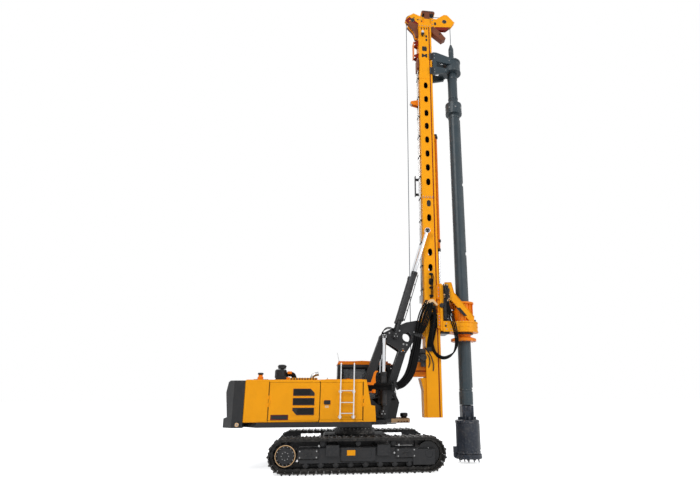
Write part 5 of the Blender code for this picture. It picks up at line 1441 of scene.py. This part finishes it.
def mast_top():
    """Painted shade of the cut-outs and the window as black plates, the lamp and the rear brackets
    near the head.
    """
    bm = bmesh.new()
    # Black plates: painted shade of the cut-outs, the window and the bowed hole
    for side in SIDES:
        y = span(side, MAST_Y - 0.001, MAST_Y + 0.002)
        for x, z, w, h in TOP_OPENINGS:
            plate(bm, "XZ", *y, slot_outline((x, z), w, h))
        plate(bm, "XZ", *y, rounded((2.42, 15.27), (2.61, 15.49), 0.03))
        bow = [(2.43, 14.96), (2.51, 15.02), (2.59, 14.96), (2.62, 14.98), (2.62, 15.13),
               (2.59, 15.15), (2.51, 15.09), (2.43, 15.15), (2.40, 15.13), (2.40, 14.98)]
        plate(bm, "XZ", *y, bow)
    piece("mast_top_opening_shades", bm, BLACK, "mast")
    bm = bmesh.new()
    for side in SIDES:
        y = span(side, 0.10, 0.125)
        for z in (15.75, 15.14):
            plate(bm, "XZ", *y, [(2.302, z - 0.14), (2.302, z + 0.13), (2.12, z + 0.03),
                                 (2.12, z - 0.03)])
    piece("mast_rear_brackets", bm, RED, "mast", bevel=0.004)
    bm = bmesh.new()
    block(bm, (2.10, 2.125), (-0.14, 0.14), (15.08, 15.80))
    piece("mast_rear_plate", bm, ORANGE, "mast", bevel=0.004)
    bm = bmesh.new()
    block(bm, (2.20, 2.299), (-0.24, 0.06), (14.40, 14.90))
    rod(bm, (2.235, -0.29, 14.46), (2.235, -0.29, 14.84), 0.042)
    block(bm, (2.21, 2.27), (-0.29, -0.23), (14.50, 14.56))
    block(bm, (2.21, 2.27), (-0.29, -0.23), (14.74, 14.80))
    piece("mast_junction_box", bm, BROWN, "mast", bevel=0.006)
    bm = bmesh.new()
    for y in (-0.19, -0.12, -0.05, 0.02):
        rod(bm, (2.25, y, 14.90), (2.25, y, 14.96), 0.022, sides=6)
        rod(bm, (2.25, y, 14.30), (2.25, y, 14.40), 0.022, sides=6)
    block(bm, (2.19, 2.275), (-0.10, 0.12), (5.14, 5.39))
    piece("mast_junction_fittings", bm, STEEL, "mast", bevel=0.003)
    points = [(2.50, -0.298, 6.14), (2.54, -0.36, 6.04), (2.53, -0.38, 5.86),
              (2.51, -0.38, 5.62), (2.52, -0.36, 5.42), (2.50, -0.302, 5.26)]
    for i in range(2):
        hose("mast_side_hose_" + str(i + 1),
             [(x + 0.05 * i, y, z) for x, y, z in points], 0.019, "mast")
    bm = bmesh.new()
    for z in (5.34, 5.63, 5.83, 6.11):
        block(bm, (2.47, 2.60), (-0.335, -0.279), around(z, 0.03))
    piece("mast_side_clamps", bm, BLACK, "mast", bevel=0.005)
    bm = bmesh.new()
    turned(bm, [(0.0, 0.10), (0.055, 0.10), (0.062, 0.09), (0.062, 0.03), (0.03, 0.0),
                (0.0, 0.0)], (2.44, -MAST_Y - 0.02, 16.06), 24, Matrix.Rotation(
                    math.radians(90), 4, "X") @ Matrix.Rotation(math.radians(20), 4, "X"))
    block(bm, (2.42, 2.46), (-MAST_Y - 0.05, -MAST_Y + 0.01), (15.95, 16.12))
    piece("mast_lamp", bm, BLACK, "mast", bevel=0.002)
    bm = bmesh.new()
    rod(bm, (2.44, -MAST_Y - 0.125, 16.085), (2.44, -MAST_Y - 0.135, 16.081), 0.05)
    rod(bm, (2.44, -MAST_Y - 0.02, 16.15), (2.44, -MAST_Y - 0.10, 16.15), 0.04)
    piece("mast_lamp_lens", bm, LENS, "mast")


def mast_lines():
    """Pipes on the rear face, with their clamps, roller and hose bracket."""
    bm = bmesh.new()
    for y in (-0.10, -0.06, 0.06, 0.10, 0.14):
        bent(bm, [(2.262, y, 5.25), (2.262, y, 7.0), (2.262, y, 12.0), (2.262, y, 14.30)], 0.6,
             0.012, 8)
    piece("mast_pipes", bm, STEEL, "mast")
    bm = bmesh.new()
    for i in range(11):
        z = 5.6 + 0.85 * i
        block(bm, (2.240, 2.301), (-0.125, -0.035), around(z, 0.025))
        block(bm, (2.240, 2.301), (0.035, 0.165), around(z, 0.025))
    for z in (9.25, 9.85):
        block(bm, (2.12, 2.30), (0.17, 0.19), around(z, 0.05))
    block(bm, (2.10, 2.13), (0.05, 0.19), (9.15, 9.95))
    piece("mast_pipe_clamps", bm, BLACK, "mast", bevel=0.003)
    bm = bmesh.new()
    for side in SIDES:
        y = span(side, 0.075, 0.09)
        plate(bm, "XZ", *y, [(2.301, 12.86), (2.301, 13.14), (1.97, 13.06), (1.97, 12.94)])
    rod(bm, (2.0, -0.075, 13.0), (2.0, 0.075, 13.0), 0.03)
    piece("rope_guide", bm, ORANGE, "mast", bevel=0.004)
    bm = bmesh.new()
    turned(bm, [(0.032, 0.07), (0.062, 0.07), (0.05, 0.02), (0.05, -0.02), (0.062, -0.07),
                (0.032, -0.07), (0.032, 0.07)], (2.0, 0, 13.0), 24, outward(-1))
    piece("rope_guide_roller", bm, STEEL, "mast")


def head_details():
    """Cheek bosses, pin keepers, black plates as painted shade of holes, red sheave plates partly
    of painted shade, and the cover on the mast's head.
    """
    bm = bmesh.new()
    for at in (SHEAVE_REAR, SHEAVE_FRONT):
        bosses(bm, [(0.0, 0.022), (0.06, 0.022), (0.066, 0.016), (0.09, 0.010),
                    (0.09, -0.004), (0.0, -0.004)], at[0], 0.07, at[1])
    piece("head_pin_bosses", bm, CHARCOAL, "mast")
    bm = bmesh.new()
    for at in (SHEAVE_REAR, SHEAVE_FRONT):
        for side in SIDES:
            bolt_ring(bm, (at[0], side * 0.080, at[1]), 0.075, 6, (0, side, 0), 0.009)
    for x, z in ((2.40, 16.68), (2.66, 16.70), (2.92, 16.78), (2.92, 16.98), (2.40, 16.98)):
        for side in SIDES:
            bolt(bm, (x, side * 0.07, z), (0, side, 0), 0.016, 0.012)
    for side in SIDES:
        bolts(bm, [(2.34 + 0.105 * i, side * MAST_Y, 16.49) for i in range(5)],
              (0, side, 0), 0.014, 0.012)
    piece("head_bolts", bm, STEEL, "mast")
    bm = bmesh.new()
    # Black plates where the head has holes: painted shade of the holes
    for side in SIDES:
        y = span(side, 0.070, 0.0725)
        for x, z in ((2.15, 17.02), (2.31, 16.95), (2.47, 16.89)):
            plate(bm, "XZ", *y, circle((x, z), 0.032, 16))
        plate(bm, "XZ", *y, slot_outline((3.04, 16.82), 0.09, 0.15))
        y = span(side, 0.13, 0.1325)
        plate(bm, "XZ", *y, circle((3.20, 16.28), 0.035, 20))
    piece("head_hole_shades", bm, BLACK, "mast")
    bm = bmesh.new()
    # Red plates on the cheeks: the red sheaves seen past the arms, and painted shade on the head's
    # lower side
    for side in SIDES:
        y = span(side, 0.0695, 0.0715)
        plate(bm, "XZ", *y, [(1.785, 16.86), (1.97, 17.055), (2.34, 16.76), (2.34, 16.51),
                             (2.30, 16.505), (1.865, 16.725)], circle((1.98, 16.86), 0.03, 16))
        y = span(side, 0.045, 0.069)
        plate(bm, "XZ", *y, [(2.84, 16.54), (3.22, 16.53), (3.49, 16.55), (3.66, 16.71),
                             (3.05, 16.655)])
    piece("sheave_shade_plates", bm, RED, "mast")
    bm = bmesh.new()
    for side in SIDES:
        y = span(side, 0.1705, 0.176)
        for i in range(4):
            block(bm, (2.56 + 0.10 * i, 2.62 + 0.10 * i), y, (17.28, 17.33))
    block(bm, (2.50, 2.98), (-0.15, 0.15), (17.205, 17.222))
    piece("head_cover", bm, BLACK, "mast", bevel=0.003)
    bm = bmesh.new()
    rod(bm, (3.50, 0.05, 17.24), (3.50, 0.05, 17.385), 0.012, sides=12)
    rod(bm, (3.50, 0.05, 17.30), (3.50, 0.05, 17.36), 0.022, sides=16)
    piece("wind_sensor", bm, BLACK, "mast")


def winch_details():
    """Rope on the drum, its motor and the frame's bolts."""
    bm = bmesh.new()
    turns = 9
    steps = 16
    for r in (0.160, 0.178):
        points = []
        for i in range(turns * steps + 1):
            a = 2 * math.pi * i / steps
            y = -0.100 + 0.200 * i / (turns * steps)
            points.append(Vector((WINCH[0] + r * math.cos(a), y, WINCH[1] + r * math.sin(a))))
        sweep(bm, points, 0.0115, 6)
    piece("winch_rope", bm, ROPE, "winch_drum")
    bm = bmesh.new()
    bosses(bm, [(0.0, 0.10), (0.075, 0.10), (0.085, 0.09), (0.085, 0.03), (0.115, 0.025),
                (0.115, -0.002), (0.0, -0.002)], WINCH[0], 0.166, WINCH[1])
    bosses(bm, [(0.0, 0.12), (0.11, 0.12), (0.125, 0.10), (0.125, 0.05), (0.18, 0.04),
                (0.18, -0.002), (0.0, -0.002)], 2.215, 0.166, 3.28, 40, (-1,))
    block(bm, (2.10, 2.33), (-0.25, -0.166), (3.42, 3.56))
    block(bm, (2.14, 2.44), (-0.24, -0.166), (2.98, 3.10))
    piece("winch_motor", bm, CHARCOAL, "mast")
    pipe("winch_pipe_1", [(2.26, -0.26, 3.62), (2.33, -0.30, 3.52), (2.46, -0.31, 3.32),
                          (2.54, -0.30, 3.05), (2.53, -0.285, 2.84)], 0.018, "mast")
    pipe("winch_pipe_2", [(2.34, -0.26, 3.40), (2.40, -0.30, 3.28), (2.42, -0.30, 3.10),
                          (2.38, -0.27, 2.94)], 0.018, "mast")
    bm = bmesh.new()
    for side in SIDES:
        bolt_ring(bm, (WINCH[0], side * 0.190, WINCH[1]), 0.100, 8, (0, side, 0), 0.009)
        bolt_ring(bm, (WINCH[0], side * 0.265, WINCH[1]), 0.062, 6, (0, side, 0), 0.007)
    piece("winch_bolts", bm, STEEL, "mast")
    bm = bmesh.new()
    rod(bm, (1.755, -0.22, 2.84), (1.755, 0.22, 2.84), 0.016)
    for y in (-0.21, 0.21):
        rod(bm, (1.755, y, 2.79), (1.755, y, 2.84), 0.016)
        rod(bm, (1.755, y, 2.84), (2.31, y, 2.84), 0.016)
    piece("winch_rail", bm, RED, "mast")


def crowd_details():
    """Gland, end block and pipe of the crowd cylinder."""
    x, low, high = CROWD
    bm = bmesh.new()
    rod(bm, (x, 0, low), (x, 0, low + 0.10), 0.074, sides=32)
    rod(bm, (x, 0, high - 0.12), (x, 0, high), 0.070, sides=32)
    for z in (7.4, 11.55):
        for side in SIDES:
            block(bm, (x - 0.02, x + 0.075), (side * 0.055 - 0.02, side * 0.055 + 0.02),
                  around(z, 0.05))
    piece("crowd_rings", bm, BLACK, "mast", bevel=0.003)
    bm = bmesh.new()
    path = [(x, 0.055, low + 0.15), (x, 0.085, low + 0.15), (x, 0.09, low + 0.25),
            (x, 0.09, high - 0.35), (x, 0.085, high - 0.25), (x, 0.055, high - 0.25)]
    bent(bm, path, 0.06, 0.011, 8)
    piece("crowd_pipe", bm, STEEL, "mast")


mast_skin()
mast_top()
mast_lines()
head_details()
winch_details()
crowd_details()


# Kelly drive, follower, kelly bar and bucket

KELLY_X = 3.68
DRIVE_Z = (4.12, 4.47)
FOLLOWER_Z = (14.46, 15.03)
BUCKET_Z = (0.28, 1.30)


def drive_gearbox():
    """Flanges, seams, bolts and plugs on the rotary drive."""
    at = (KELLY_X, 0, 0)
    low, high = DRIVE_Z
    bm = bmesh.new()
    turned(bm, [(0.496, high - 0.045), (0.516, high - 0.045), (0.516, high - 0.008),
                (0.506, high + 0.003), (0.345, high + 0.003), (0.345, high - 0.002),
                (0.496, high - 0.002), (0.496, high - 0.045)], at, 64)
    turned(bm, [(0.496, low + 0.045), (0.516, low + 0.045), (0.516, low + 0.006),
                (0.506, low - 0.004), (0.496, low - 0.004), (0.496, low + 0.045)], at, 64)
    ring(bm, 0.498, 0.507, low + 0.165, low + 0.195, at, 64)
    piece("drive_flanges", bm, YELLOW, "drive")
    bm = bmesh.new()
    bolt_ring(bm, (KELLY_X, 0, high + 0.003), 0.465, 28, (0, 0, 1), 0.014)
    bolt_ring(bm, (KELLY_X, 0, high + 0.003), 0.375, 20, (0, 0, 1), 0.011)
    for y in (-0.33, -0.22, 0.22, 0.33):
        bolts(bm, [(2.96, y, high), (3.28, y, high)], (0, 0, 1), 0.014)
    for side in SIDES:
        bolts(bm, [(3.0 + 0.16 * i, side * 0.42, low + 0.08) for i in range(4)]
              + [(3.0 + 0.16 * i, side * 0.42, high - 0.08) for i in range(4)],
              (0, side, 0), 0.014)
    piece("drive_bolts", bm, STEEL, "drive")
    bm = bmesh.new()
    for side in SIDES:
        rod(bm, (2.97, side * 0.415, 4.31), (2.97, side * 0.440, 4.31), 0.034)
    plate(bm, "XZ", -0.33, 0.33, rounded((2.82, 4.05), (3.12, 4.119), 0.03))
    rod(bm, (KELLY_X + 0.35, -0.30, high), (KELLY_X + 0.35, -0.30, high + 0.07), 0.028)
    rod(bm, (KELLY_X + 0.35, 0.30, high), (KELLY_X + 0.35, 0.30, high + 0.05), 0.028)
    piece("drive_plugs", bm, BLACK, "drive", bevel=0.003)


def drive_motors():
    """Motors with their valve blocks, hoses and the manifold behind them."""
    bm = bmesh.new()
    for y in (-MOTOR_Y, MOTOR_Y):
        turned(bm, [(0.0, 5.085), (0.052, 5.085), (0.075, 5.065), (0.105, 5.03),
                    (0.122, 5.0), (0.122, 4.97), (0.119, 4.97), (0.0, 4.97)],
               (MOTOR_X, y, 0), 32)
        ring(bm, 0.119, 0.135, 4.56, 4.47, (MOTOR_X, y, 0), 32)
        for z in (4.64, 4.72, 4.80, 4.88):
            turned(bm, [(0.119, z), (0.127, z + 0.004), (0.127, z + 0.024), (0.119, z + 0.028),
                        (0.119, z)], (MOTOR_X, y, 0), 32)
        block(bm, (3.165, 3.222), around(y, 0.065), (4.74, 4.94))
    block(bm, (2.899, 2.924), (-0.23, 0.23), (5.22, 5.52))
    for i in range(4):
        block(bm, (2.92, 2.95), (-0.20 + 0.105 * i, -0.115 + 0.105 * i), (5.40, 5.50))
    piece("drive_motor_cases", bm, BLACK, "drive", bevel=0.004)
    bm = bmesh.new()
    for y in (-MOTOR_Y, MOTOR_Y):
        bolt_ring(bm, (MOTOR_X, y, 5.085), 0.035, 4, (0, 0, 1), 0.008)
        bolt_ring(bm, (MOTOR_X, y, 4.56), 0.127, 8, (0, 0, 1), 0.007)
        for dy in (-0.035, 0.035):
            rod(bm, (3.215, y + dy, 4.88), (3.29, y + dy, 4.88), 0.024, sides=12)
            rod(bm, (3.232, y + dy, 4.88), (3.262, y + dy, 4.88), 0.031, sides=6)
    for i in range(4):
        y = -0.1575 + 0.105 * i
        rod(bm, (2.92, y, 5.32), (3.00, y, 5.32), 0.024, sides=12)
        rod(bm, (2.935, y, 5.32), (2.965, y, 5.32), 0.031, sides=6)
        rod(bm, (2.935, y, 5.49), (2.935, y, 5.54), 0.016, sides=12)
    bolts(bm, [(2.924, y, z) for y in (-0.215, 0.215) for z in (5.25, 5.49)],
          (1, 0, 0), 0.010)
    piece("drive_fittings", bm, CHROME, "drive")
    for i, (y, dy) in enumerate(((-MOTOR_Y, -0.035), (-MOTOR_Y, 0.035),
                                 (MOTOR_Y, -0.035), (MOTOR_Y, 0.035))):
        top = -0.1575 + 0.105 * i
        hose("drive_hose_" + str(i + 1),
             [(3.228, y + dy, 4.88), (3.33, y + dy, 4.885), (3.39, y + dy * 1.3, 4.97),
              (3.37, (y + dy + top) / 2, 5.15), (3.22, top, 5.30), (3.06, top, 5.325),
              (2.926, top, 5.32)],
             0.013, "drive")


def drive_frame():
    """Holes as black plates of painted shade, bosses and ribs of the two diagonal braces, and the
    carriage.
    """
    bm = bmesh.new()
    # Black plates on the braces: painted shade of their holes and slot
    for side in SIDES:
        y = span(side, 0.3795, 0.3825)
        for x, z in ((3.12, 5.55), (3.10, 5.32)):
            plate(bm, "XZ", *y, circle((x, z), 0.042, 24))
        plate(bm, "XZ", *y, [(3.36, 4.93), (3.50, 4.94), (3.74, 4.66), (3.62, 4.66)])
    piece("brace_hole_shades", bm, BLACK, "drive")
    bm = bmesh.new()
    edge = [(2.99, 5.795), (3.22, 5.805), (3.305, 5.45), (3.985, 4.62)]
    for side in SIDES:
        y = span(side, 0.315, 0.395)
        for a, b in zip(edge, edge[1:]):
            x, z = b[0] - a[0], b[1] - a[1]
            length = math.hypot(x, z)
            nx, nz = -z / length * 0.012, x / length * 0.012
            plate(bm, "XZ", *y, [a, b, (b[0] + nx, b[1] + nz), (a[0] + nx, a[1] + nz)])
        block(bm, (3.86, 3.99), y, (4.455, 4.475))
    for z in (5.60, 5.02):
        rod(bm, (3.02, -0.335, z), (3.02, 0.335, z), 0.024)
    for side in SIDES:
        rod(bm, (3.33, side * 0.38, 5.10), (3.33, side * 0.40, 5.10), 0.035)
    piece("brace_flanges", bm, YELLOW, "drive", bevel=0.004)
    bm = bmesh.new()
    for side in SIDES:
        y = span(side, 0.3405, 0.352)
        for z in (4.50, 5.475):
            block(bm, (2.735, 2.885), y, around(z, 0.20))
        y = span(side, 0.23, 0.34)
        for z in (4.235, 4.765, 5.235, 5.715):
            block(bm, (2.72, 2.895), y, around(z, 0.012))
    block(bm, (2.812, 2.90), (-0.34, 0.34), (5.75, 5.768))
    piece("carriage_plates", bm, ORANGE, "drive", bevel=0.004)
    bm = bmesh.new()
    for side in SIDES:
        for z in (4.50, 5.475):
            bolts(bm, [(2.77 + 0.08 * i, side * 0.352, z + dz) for i in range(2)
                       for dz in (-0.15, -0.05, 0.05, 0.15)], (0, side, 0), 0.012)
    bolts(bm, [(2.90, y, z) for y in (-0.35, -0.30, 0.30, 0.35) for z in (5.62, 5.70)],
          (1, 0, 0), 0.011)
    piece("carriage_bolts", bm, STEEL, "drive")
    bm = bmesh.new()
    bosses(bm, [(0.0, 0.055), (0.03, 0.055), (0.045, 0.045), (0.075, 0.04), (0.08, 0.03),
                (0.08, -0.02), (0.0, -0.02)], 2.86, 0.385, 5.0)
    piece("carriage_rollers", bm, BLACK, "drive")


def drive_sleeve_details():
    """Ribs, bolts and drive keys of the sleeve that turns the kelly."""
    at = (KELLY_X, 0, 0)
    bm = bmesh.new()
    for i in range(12):
        turn = Matrix.Rotation(2 * math.pi * i / 12, 4, "Z")
        rib = bmesh.new()
        block(rib, (0.318, 0.372), (-0.014, 0.014), (4.475, 5.10))
        rib.transform(Matrix.Translation(at) @ turn)
        mesh = bpy.data.meshes.new("rib")
        rib.to_mesh(mesh)
        rib.free()
        bm.from_mesh(mesh)
        bpy.data.meshes.remove(mesh)
    ring(bm, 0.319, 0.395, 5.162, 5.10, at, 48)
    ring(bm, 0.319, 0.345, 4.53, 4.474, at, 48)
    piece("sleeve_cage", bm, ORANGE, "sleeve", bevel=0.003)
    bm = bmesh.new()
    bolt_ring(bm, (KELLY_X, 0, 3.83), 0.385, 16, (0, 0, -1), 0.014)
    piece("sleeve_bolts", bm, STEEL, "sleeve")
    bm = bmesh.new()
    ring(bm, 0.2935, 0.33, 4.115, 4.06, at, 48)
    piece("sleeve_seal", bm, BLACK, "sleeve")


def follower_details():
    """Rims, bolts and the swivel's rings on the kelly follower."""
    low, high = FOLLOWER_Z
    at = (KELLY_X, 0, 0)
    bm = bmesh.new()
    for z in (low + 0.012, high - 0.072):
        ring(bm, 0.334, 0.352, z, z + 0.06, at, 48)
    turned(bm, [(0.099, high + 0.02), (0.16, high + 0.02), (0.16, high + 0.06),
                (0.14, high + 0.08), (0.099, high + 0.08), (0.099, high + 0.02)], at, 32)
    turned(bm, [(0.088, 15.42), (0.104, 15.42), (0.104, 15.66), (0.092, 15.70),
                (0.040, 15.87), (0.026, 15.87), (0.088, 15.42)], at, 32)
    piece("follower_rims", bm, SLATE, "follower")
    bm = bmesh.new()
    bolt_ring(bm, (KELLY_X, 0, high), 0.30, 16, (0, 0, 1), 0.013)
    bolt_ring(bm, (KELLY_X, 0, high + 0.06), 0.148, 8, (0, 0, 1), 0.008)
    for side in SIDES:
        bolts(bm, [(2.90, side * 0.33, z) for z in (14.30, 14.42, 14.95, 15.10)]
              + [(3.34, side * 0.33, 14.42), (3.50, side * 0.33, 14.88)],
              (0, side, 0), 0.014)
    piece("follower_bolts", bm, STEEL, "follower")
    bm = bmesh.new()
    for z in (14.36, 15.02):
        for side in SIDES:
            y = span(side, 0.3405, 0.350)
            block(bm, (2.74, 2.85), y, around(z, 0.12))
    piece("follower_pads", bm, BLACK, "follower", bevel=0.004)


def kelly_ribs():
    """Three drive ribs down the outer tube, with their stops and the seams."""
    bm = bmesh.new()
    for i in range(3):
        turn = Matrix.Translation((KELLY_X, 0, 0)) @ Matrix.Rotation(
            math.radians(30 + 120 * i), 4, "Z")
        for a, b in ((2.32, 6.9), (7.02, 9.6), (9.72, 12.40)):
            block(bm, (0.200, 0.2265), (-0.028, 0.028), (a, b), turn)
    piece("kelly_drive_ribs", bm, SLATE, "kelly", bevel=0.003)
    bm = bmesh.new()
    for z, r, height in ((12.44, 0.222, 0.05), (2.24, 0.222, 0.03), (13.30, 0.196, 0.03),
                         (14.20, 0.196, 0.05)):
        ring(bm, r - 0.035, r, z, z + height, (KELLY_X, 0, 0), 48)
    for z in (12.655, 12.985):
        turned(bm, [(0.313, z), (0.321, z + 0.006), (0.321, z + 0.014), (0.313, z + 0.02),
                    (0.313, z)], (KELLY_X, 0, 0), 48)
    piece("kelly_rings", bm, SLATE, "kelly")
    bm = bmesh.new()
    bolt_ring(bm, (KELLY_X, 0, 13.062), 0.255, 16, (0, 0, 1), 0.016)
    for i in range(8):
        a = 2 * math.pi * i / 8
        way = Vector((math.cos(a), math.sin(a), 0))
        bolt(bm, Vector((KELLY_X, 0, 12.82)) + way * 0.313, way, 0.020, 0.016)
    piece("kelly_bolts", bm, STEEL, "kelly")


def bucket_details():
    """Socket pins, wear strips and rims of the bucket, and its bottom's cutters."""
    low, high = BUCKET_Z
    at = (KELLY_X, 0, 0)
    bm = bmesh.new()
    for z0, z1 in ((high - 0.09, high - 0.004), (low + 0.004, low + 0.09)):
        turned(bm, [(0.379, z0), (0.393, z0 + 0.006), (0.393, z1 - 0.006), (0.379, z1),
                    (0.379, z0)], at, 64)
    for i in range(6):
        turn = Matrix.Translation(at) @ Matrix.Rotation(math.radians(30 + 60 * i), 4, "Z")
        block(bm, (0.374, 0.391), (-0.03, 0.03), (low + 0.11, high - 0.11), turn)
    turned(bm, [(0.0, 1.31), (0.352, 1.31), (0.375, 1.296), (0.0, 1.296)], at, 64)
    piece("bucket_strips", bm, NAVY, "kelly")
    bm = bmesh.new()
    bosses(bm, [(0.0, 0.045), (0.042, 0.045), (0.048, 0.038), (0.048, 0.0), (0.0, 0.0)],
           KELLY_X, 0.19, 1.66, 24)
    for side in SIDES:
        block(bm, around(KELLY_X, 0.12), span(side, 0.1895, 0.20), (1.59, 1.73))
        for x in (KELLY_X - 0.13, KELLY_X + 0.13):
            block(bm, around(x, 0.012), span(side, 0.188, 0.27), (1.30, 1.52))
    piece("bucket_socket", bm, NAVY, "kelly", bevel=0.004)
    bm = bmesh.new()
    rod(bm, (KELLY_X + 0.37, 0.05, 0.36), (KELLY_X + 0.37, 0.05, 1.22), 0.014)
    for z in (0.50, 1.10):
        block(bm, (KELLY_X + 0.36, KELLY_X + 0.395), (0.03, 0.07), around(z, 0.03))
    block(bm, (KELLY_X + 0.345, KELLY_X + 0.40), (0.02, 0.08), (1.215, 1.262))
    piece("bucket_latch_rod", bm, STEEL, "kelly", bevel=0.002)
    bm = bmesh.new()
    turned(bm, [(0.424, 0.150), (0.432, 0.156), (0.432, 0.20), (0.424, 0.206),
                (0.424, 0.150)], at, 64)
    for angle in (25, 70, 115, 205, 250, 295):
        a = math.radians(angle)
        x, y = KELLY_X + 0.30 * math.cos(a), 0.30 * math.sin(a)
        block(bm, around(x, 0.03), around(y, 0.022), (0.10, 0.145))
    piece("bucket_bottom_rim", bm, NAVY, "bucket_lid")


drive_gearbox()
drive_motors()
drive_frame()
drive_sleeve_details()
follower_details()
kelly_ribs()
bucket_details()


def drive_loop():
    """The slack hoses from the mast's side down and up again to the drive."""
    for i in range(3):
        out = 0.042 * i
        points = [(2.56 + 0.045 * i, -0.302, 4.99), (2.59 + 0.02 * i, -0.37 - out, 4.72),
                  (2.55, -0.41 - out, 4.30), (2.48, -0.42 - out, 3.86),
                  (2.51 + 0.02 * i, -0.42 - out, 3.50), (2.66, -0.43 - out, 3.29 + 0.03 * i),
                  (2.85, -0.44 - out, 3.22 + 0.03 * i), (3.05, -0.45 - out, 3.28 + 0.03 * i),
                  (3.21, -0.46 - out, 3.46), (3.27 + 0.03 * i, -0.47 - out, 3.75),
                  (3.24 + 0.04 * i, -0.475 - out, 4.10), (3.12 + 0.05 * i, -0.47 - out, 4.55),
                  (3.04 + 0.04 * i, -0.44, 4.92), (3.02 + 0.035 * i, -0.396, 5.17)]
        joined_hose("drive_loop_" + str(i + 1), points, HOSE_R, ("mast", "drive"))


def drive_valves():
    """The valve block, its fittings and short hoses beside the drive's brace."""
    bm = bmesh.new()
    block(bm, (2.925, 3.10), (-0.455, -0.383), (5.42, 5.74))
    block(bm, (2.93, 3.15), (-0.43, -0.383), (5.20, 5.43))
    block(bm, (2.92, 3.02), (-0.44, -0.383), (4.52, 5.22))
    block(bm, (3.08, 3.14), (-0.47, -0.45), (5.46, 5.58))
    for z in (4.62, 4.80, 5.00):
        rod(bm, (2.97, -0.44, z), (2.97, -0.47, z), 0.032, sides=16)
    piece("drive_valves", bm, BLACK, "drive", bevel=0.008)
    bm = bmesh.new()
    for x, z in ((2.95, 5.36), (3.11, 5.37), (2.97, 5.27), (3.10, 5.22), (3.05, 5.17)):
        rod(bm, (x, -0.43, z), (x, -0.475, z), 0.030, sides=6)
        rod(bm, (x, -0.475, z), (x, -0.50, z), 0.020, sides=12)
    for x in (2.96, 3.05):
        rod(bm, (x, -0.455, 5.70), (x, -0.49, 5.70), 0.024, sides=6)
    piece("drive_valve_fittings", bm, BEIGE, "drive")
    for i, (x, z) in enumerate(((2.955, 5.62), (3.045, 5.60), (3.00, 5.54))):
        pipe("valve_pipe_" + str(i + 1),
             [(x, -0.45, z), (x + 0.01, -0.53, z - 0.04), (x + 0.03, -0.55, z - 0.18),
              (x + 0.02, -0.53, z - 0.33), (x - 0.01, -0.43, z - 0.40 - 0.03 * i)],
             0.015, "drive")


drive_loop()
drive_valves()


# Floor, light and the sizes

def seen_rays(tree):
    """1 for a ray that comes from the camera, a mirror or glass."""
    rays = tree.nodes.new("ShaderNodeLightPath")
    last = rays.outputs["Is Camera Ray"]
    for name in ("Is Glossy Ray", "Is Transmission Ray"):
        highest = tree.nodes.new("ShaderNodeMath")
        highest.operation = "MAXIMUM"
        tree.links.new(last, highest.inputs[0])
        tree.links.new(rays.outputs[name], highest.inputs[1])
        last = highest.outputs[0]
    return last


def floor_material():
    """White to the eye but for the machine's shadow, and grey to the light."""
    mat = bpy.data.materials.new("floor")
    mat.use_nodes = True
    tree = mat.node_tree
    shader = tree.nodes["Principled BSDF"]
    shader.inputs["Base Color"].default_value = FLOOR_GREY
    shader.inputs["Roughness"].default_value = 1.0
    shader.inputs["Specular IOR Level"].default_value = 0.0
    white = tree.nodes.new("ShaderNodeEmission")
    white.inputs["Strength"].default_value = 1.0
    both = tree.nodes.new("ShaderNodeAddShader")
    mix = tree.nodes.new("ShaderNodeMixShader")
    tree.links.new(seen_rays(tree), mix.inputs[0])
    half = tree.nodes.new("ShaderNodeMixShader")
    half.inputs[0].default_value = FLOOR_WHITE
    link(tree, shader, 0, both, 0)
    link(tree, white, 0, half, 2)
    link(tree, half, 0, both, 1)
    link(tree, shader, 0, mix, 1)
    link(tree, both, 0, mix, 2)
    link(tree, mix, 0, tree.nodes["Material Output"], "Surface")
    return mat


FLOOR_SIZE = 200.0
FLOOR_DROP = 0.002
FLOOR_GREY = (0.80, 0.80, 0.80, 1.0)
# How much of the floor's own light is white to the eye
FLOOR_WHITE = 0.72
SKY_LIGHT = (0.90, 0.94, 1.0, 1.0)
SKY_STRENGTH = 0.50
LAMP_SIZE = 12


def make_stage():
    """The floor and the white surroundings."""
    bm = bmesh.new()
    bmesh.ops.create_grid(bm, x_segments=1, y_segments=1, size=FLOOR_SIZE)
    mesh = bpy.data.meshes.new("floor")
    bm.to_mesh(mesh)
    bm.free()
    floor = add_object("floor", mesh)
    floor.location = (0, 0, -FLOOR_DROP)
    mesh.materials.append(floor_material())
    world = bpy.data.worlds.new("world")
    bpy.context.scene.world = world
    world.use_nodes = True
    tree = world.node_tree
    light = tree.nodes["Background"]
    light.inputs["Color"].default_value = SKY_LIGHT
    light.inputs["Strength"].default_value = SKY_STRENGTH
    seen = tree.nodes.new("ShaderNodeBackground")
    seen.inputs["Color"].default_value = (1.0, 1.0, 1.0, 1.0)
    seen.inputs["Strength"].default_value = 1.0
    mix = tree.nodes.new("ShaderNodeMixShader")
    tree.links.new(seen_rays(tree), mix.inputs[0])
    link(tree, light, 0, mix, 1)
    link(tree, seen, 0, mix, 2)
    link(tree, mix, 0, tree.nodes["World Output"], "Surface")


def area_lamp(name, at, target, power):
    """A round soft lamp that faces a target; power in watts."""
    data = bpy.data.lights.new(name, "AREA")
    data.shape = "DISK"
    data.size = LAMP_SIZE
    data.energy = power
    lamp = add_object(name, data)
    lamp.location = at
    lamp.rotation_euler = (Vector(target) - Vector(at)).to_track_quat("-Z", "Y").to_euler()


make_stage()
area_lamp("key", (-14, -22, 24), (0, 0, 6), 4400)
area_lamp("fill", (20, -14, 12), (0, 0, 6), 1600)
area_lamp("rim", (6, 24, 20), (0, 0, 8), 1900)
bpy.context.scene.view_settings.view_transform = "Standard"
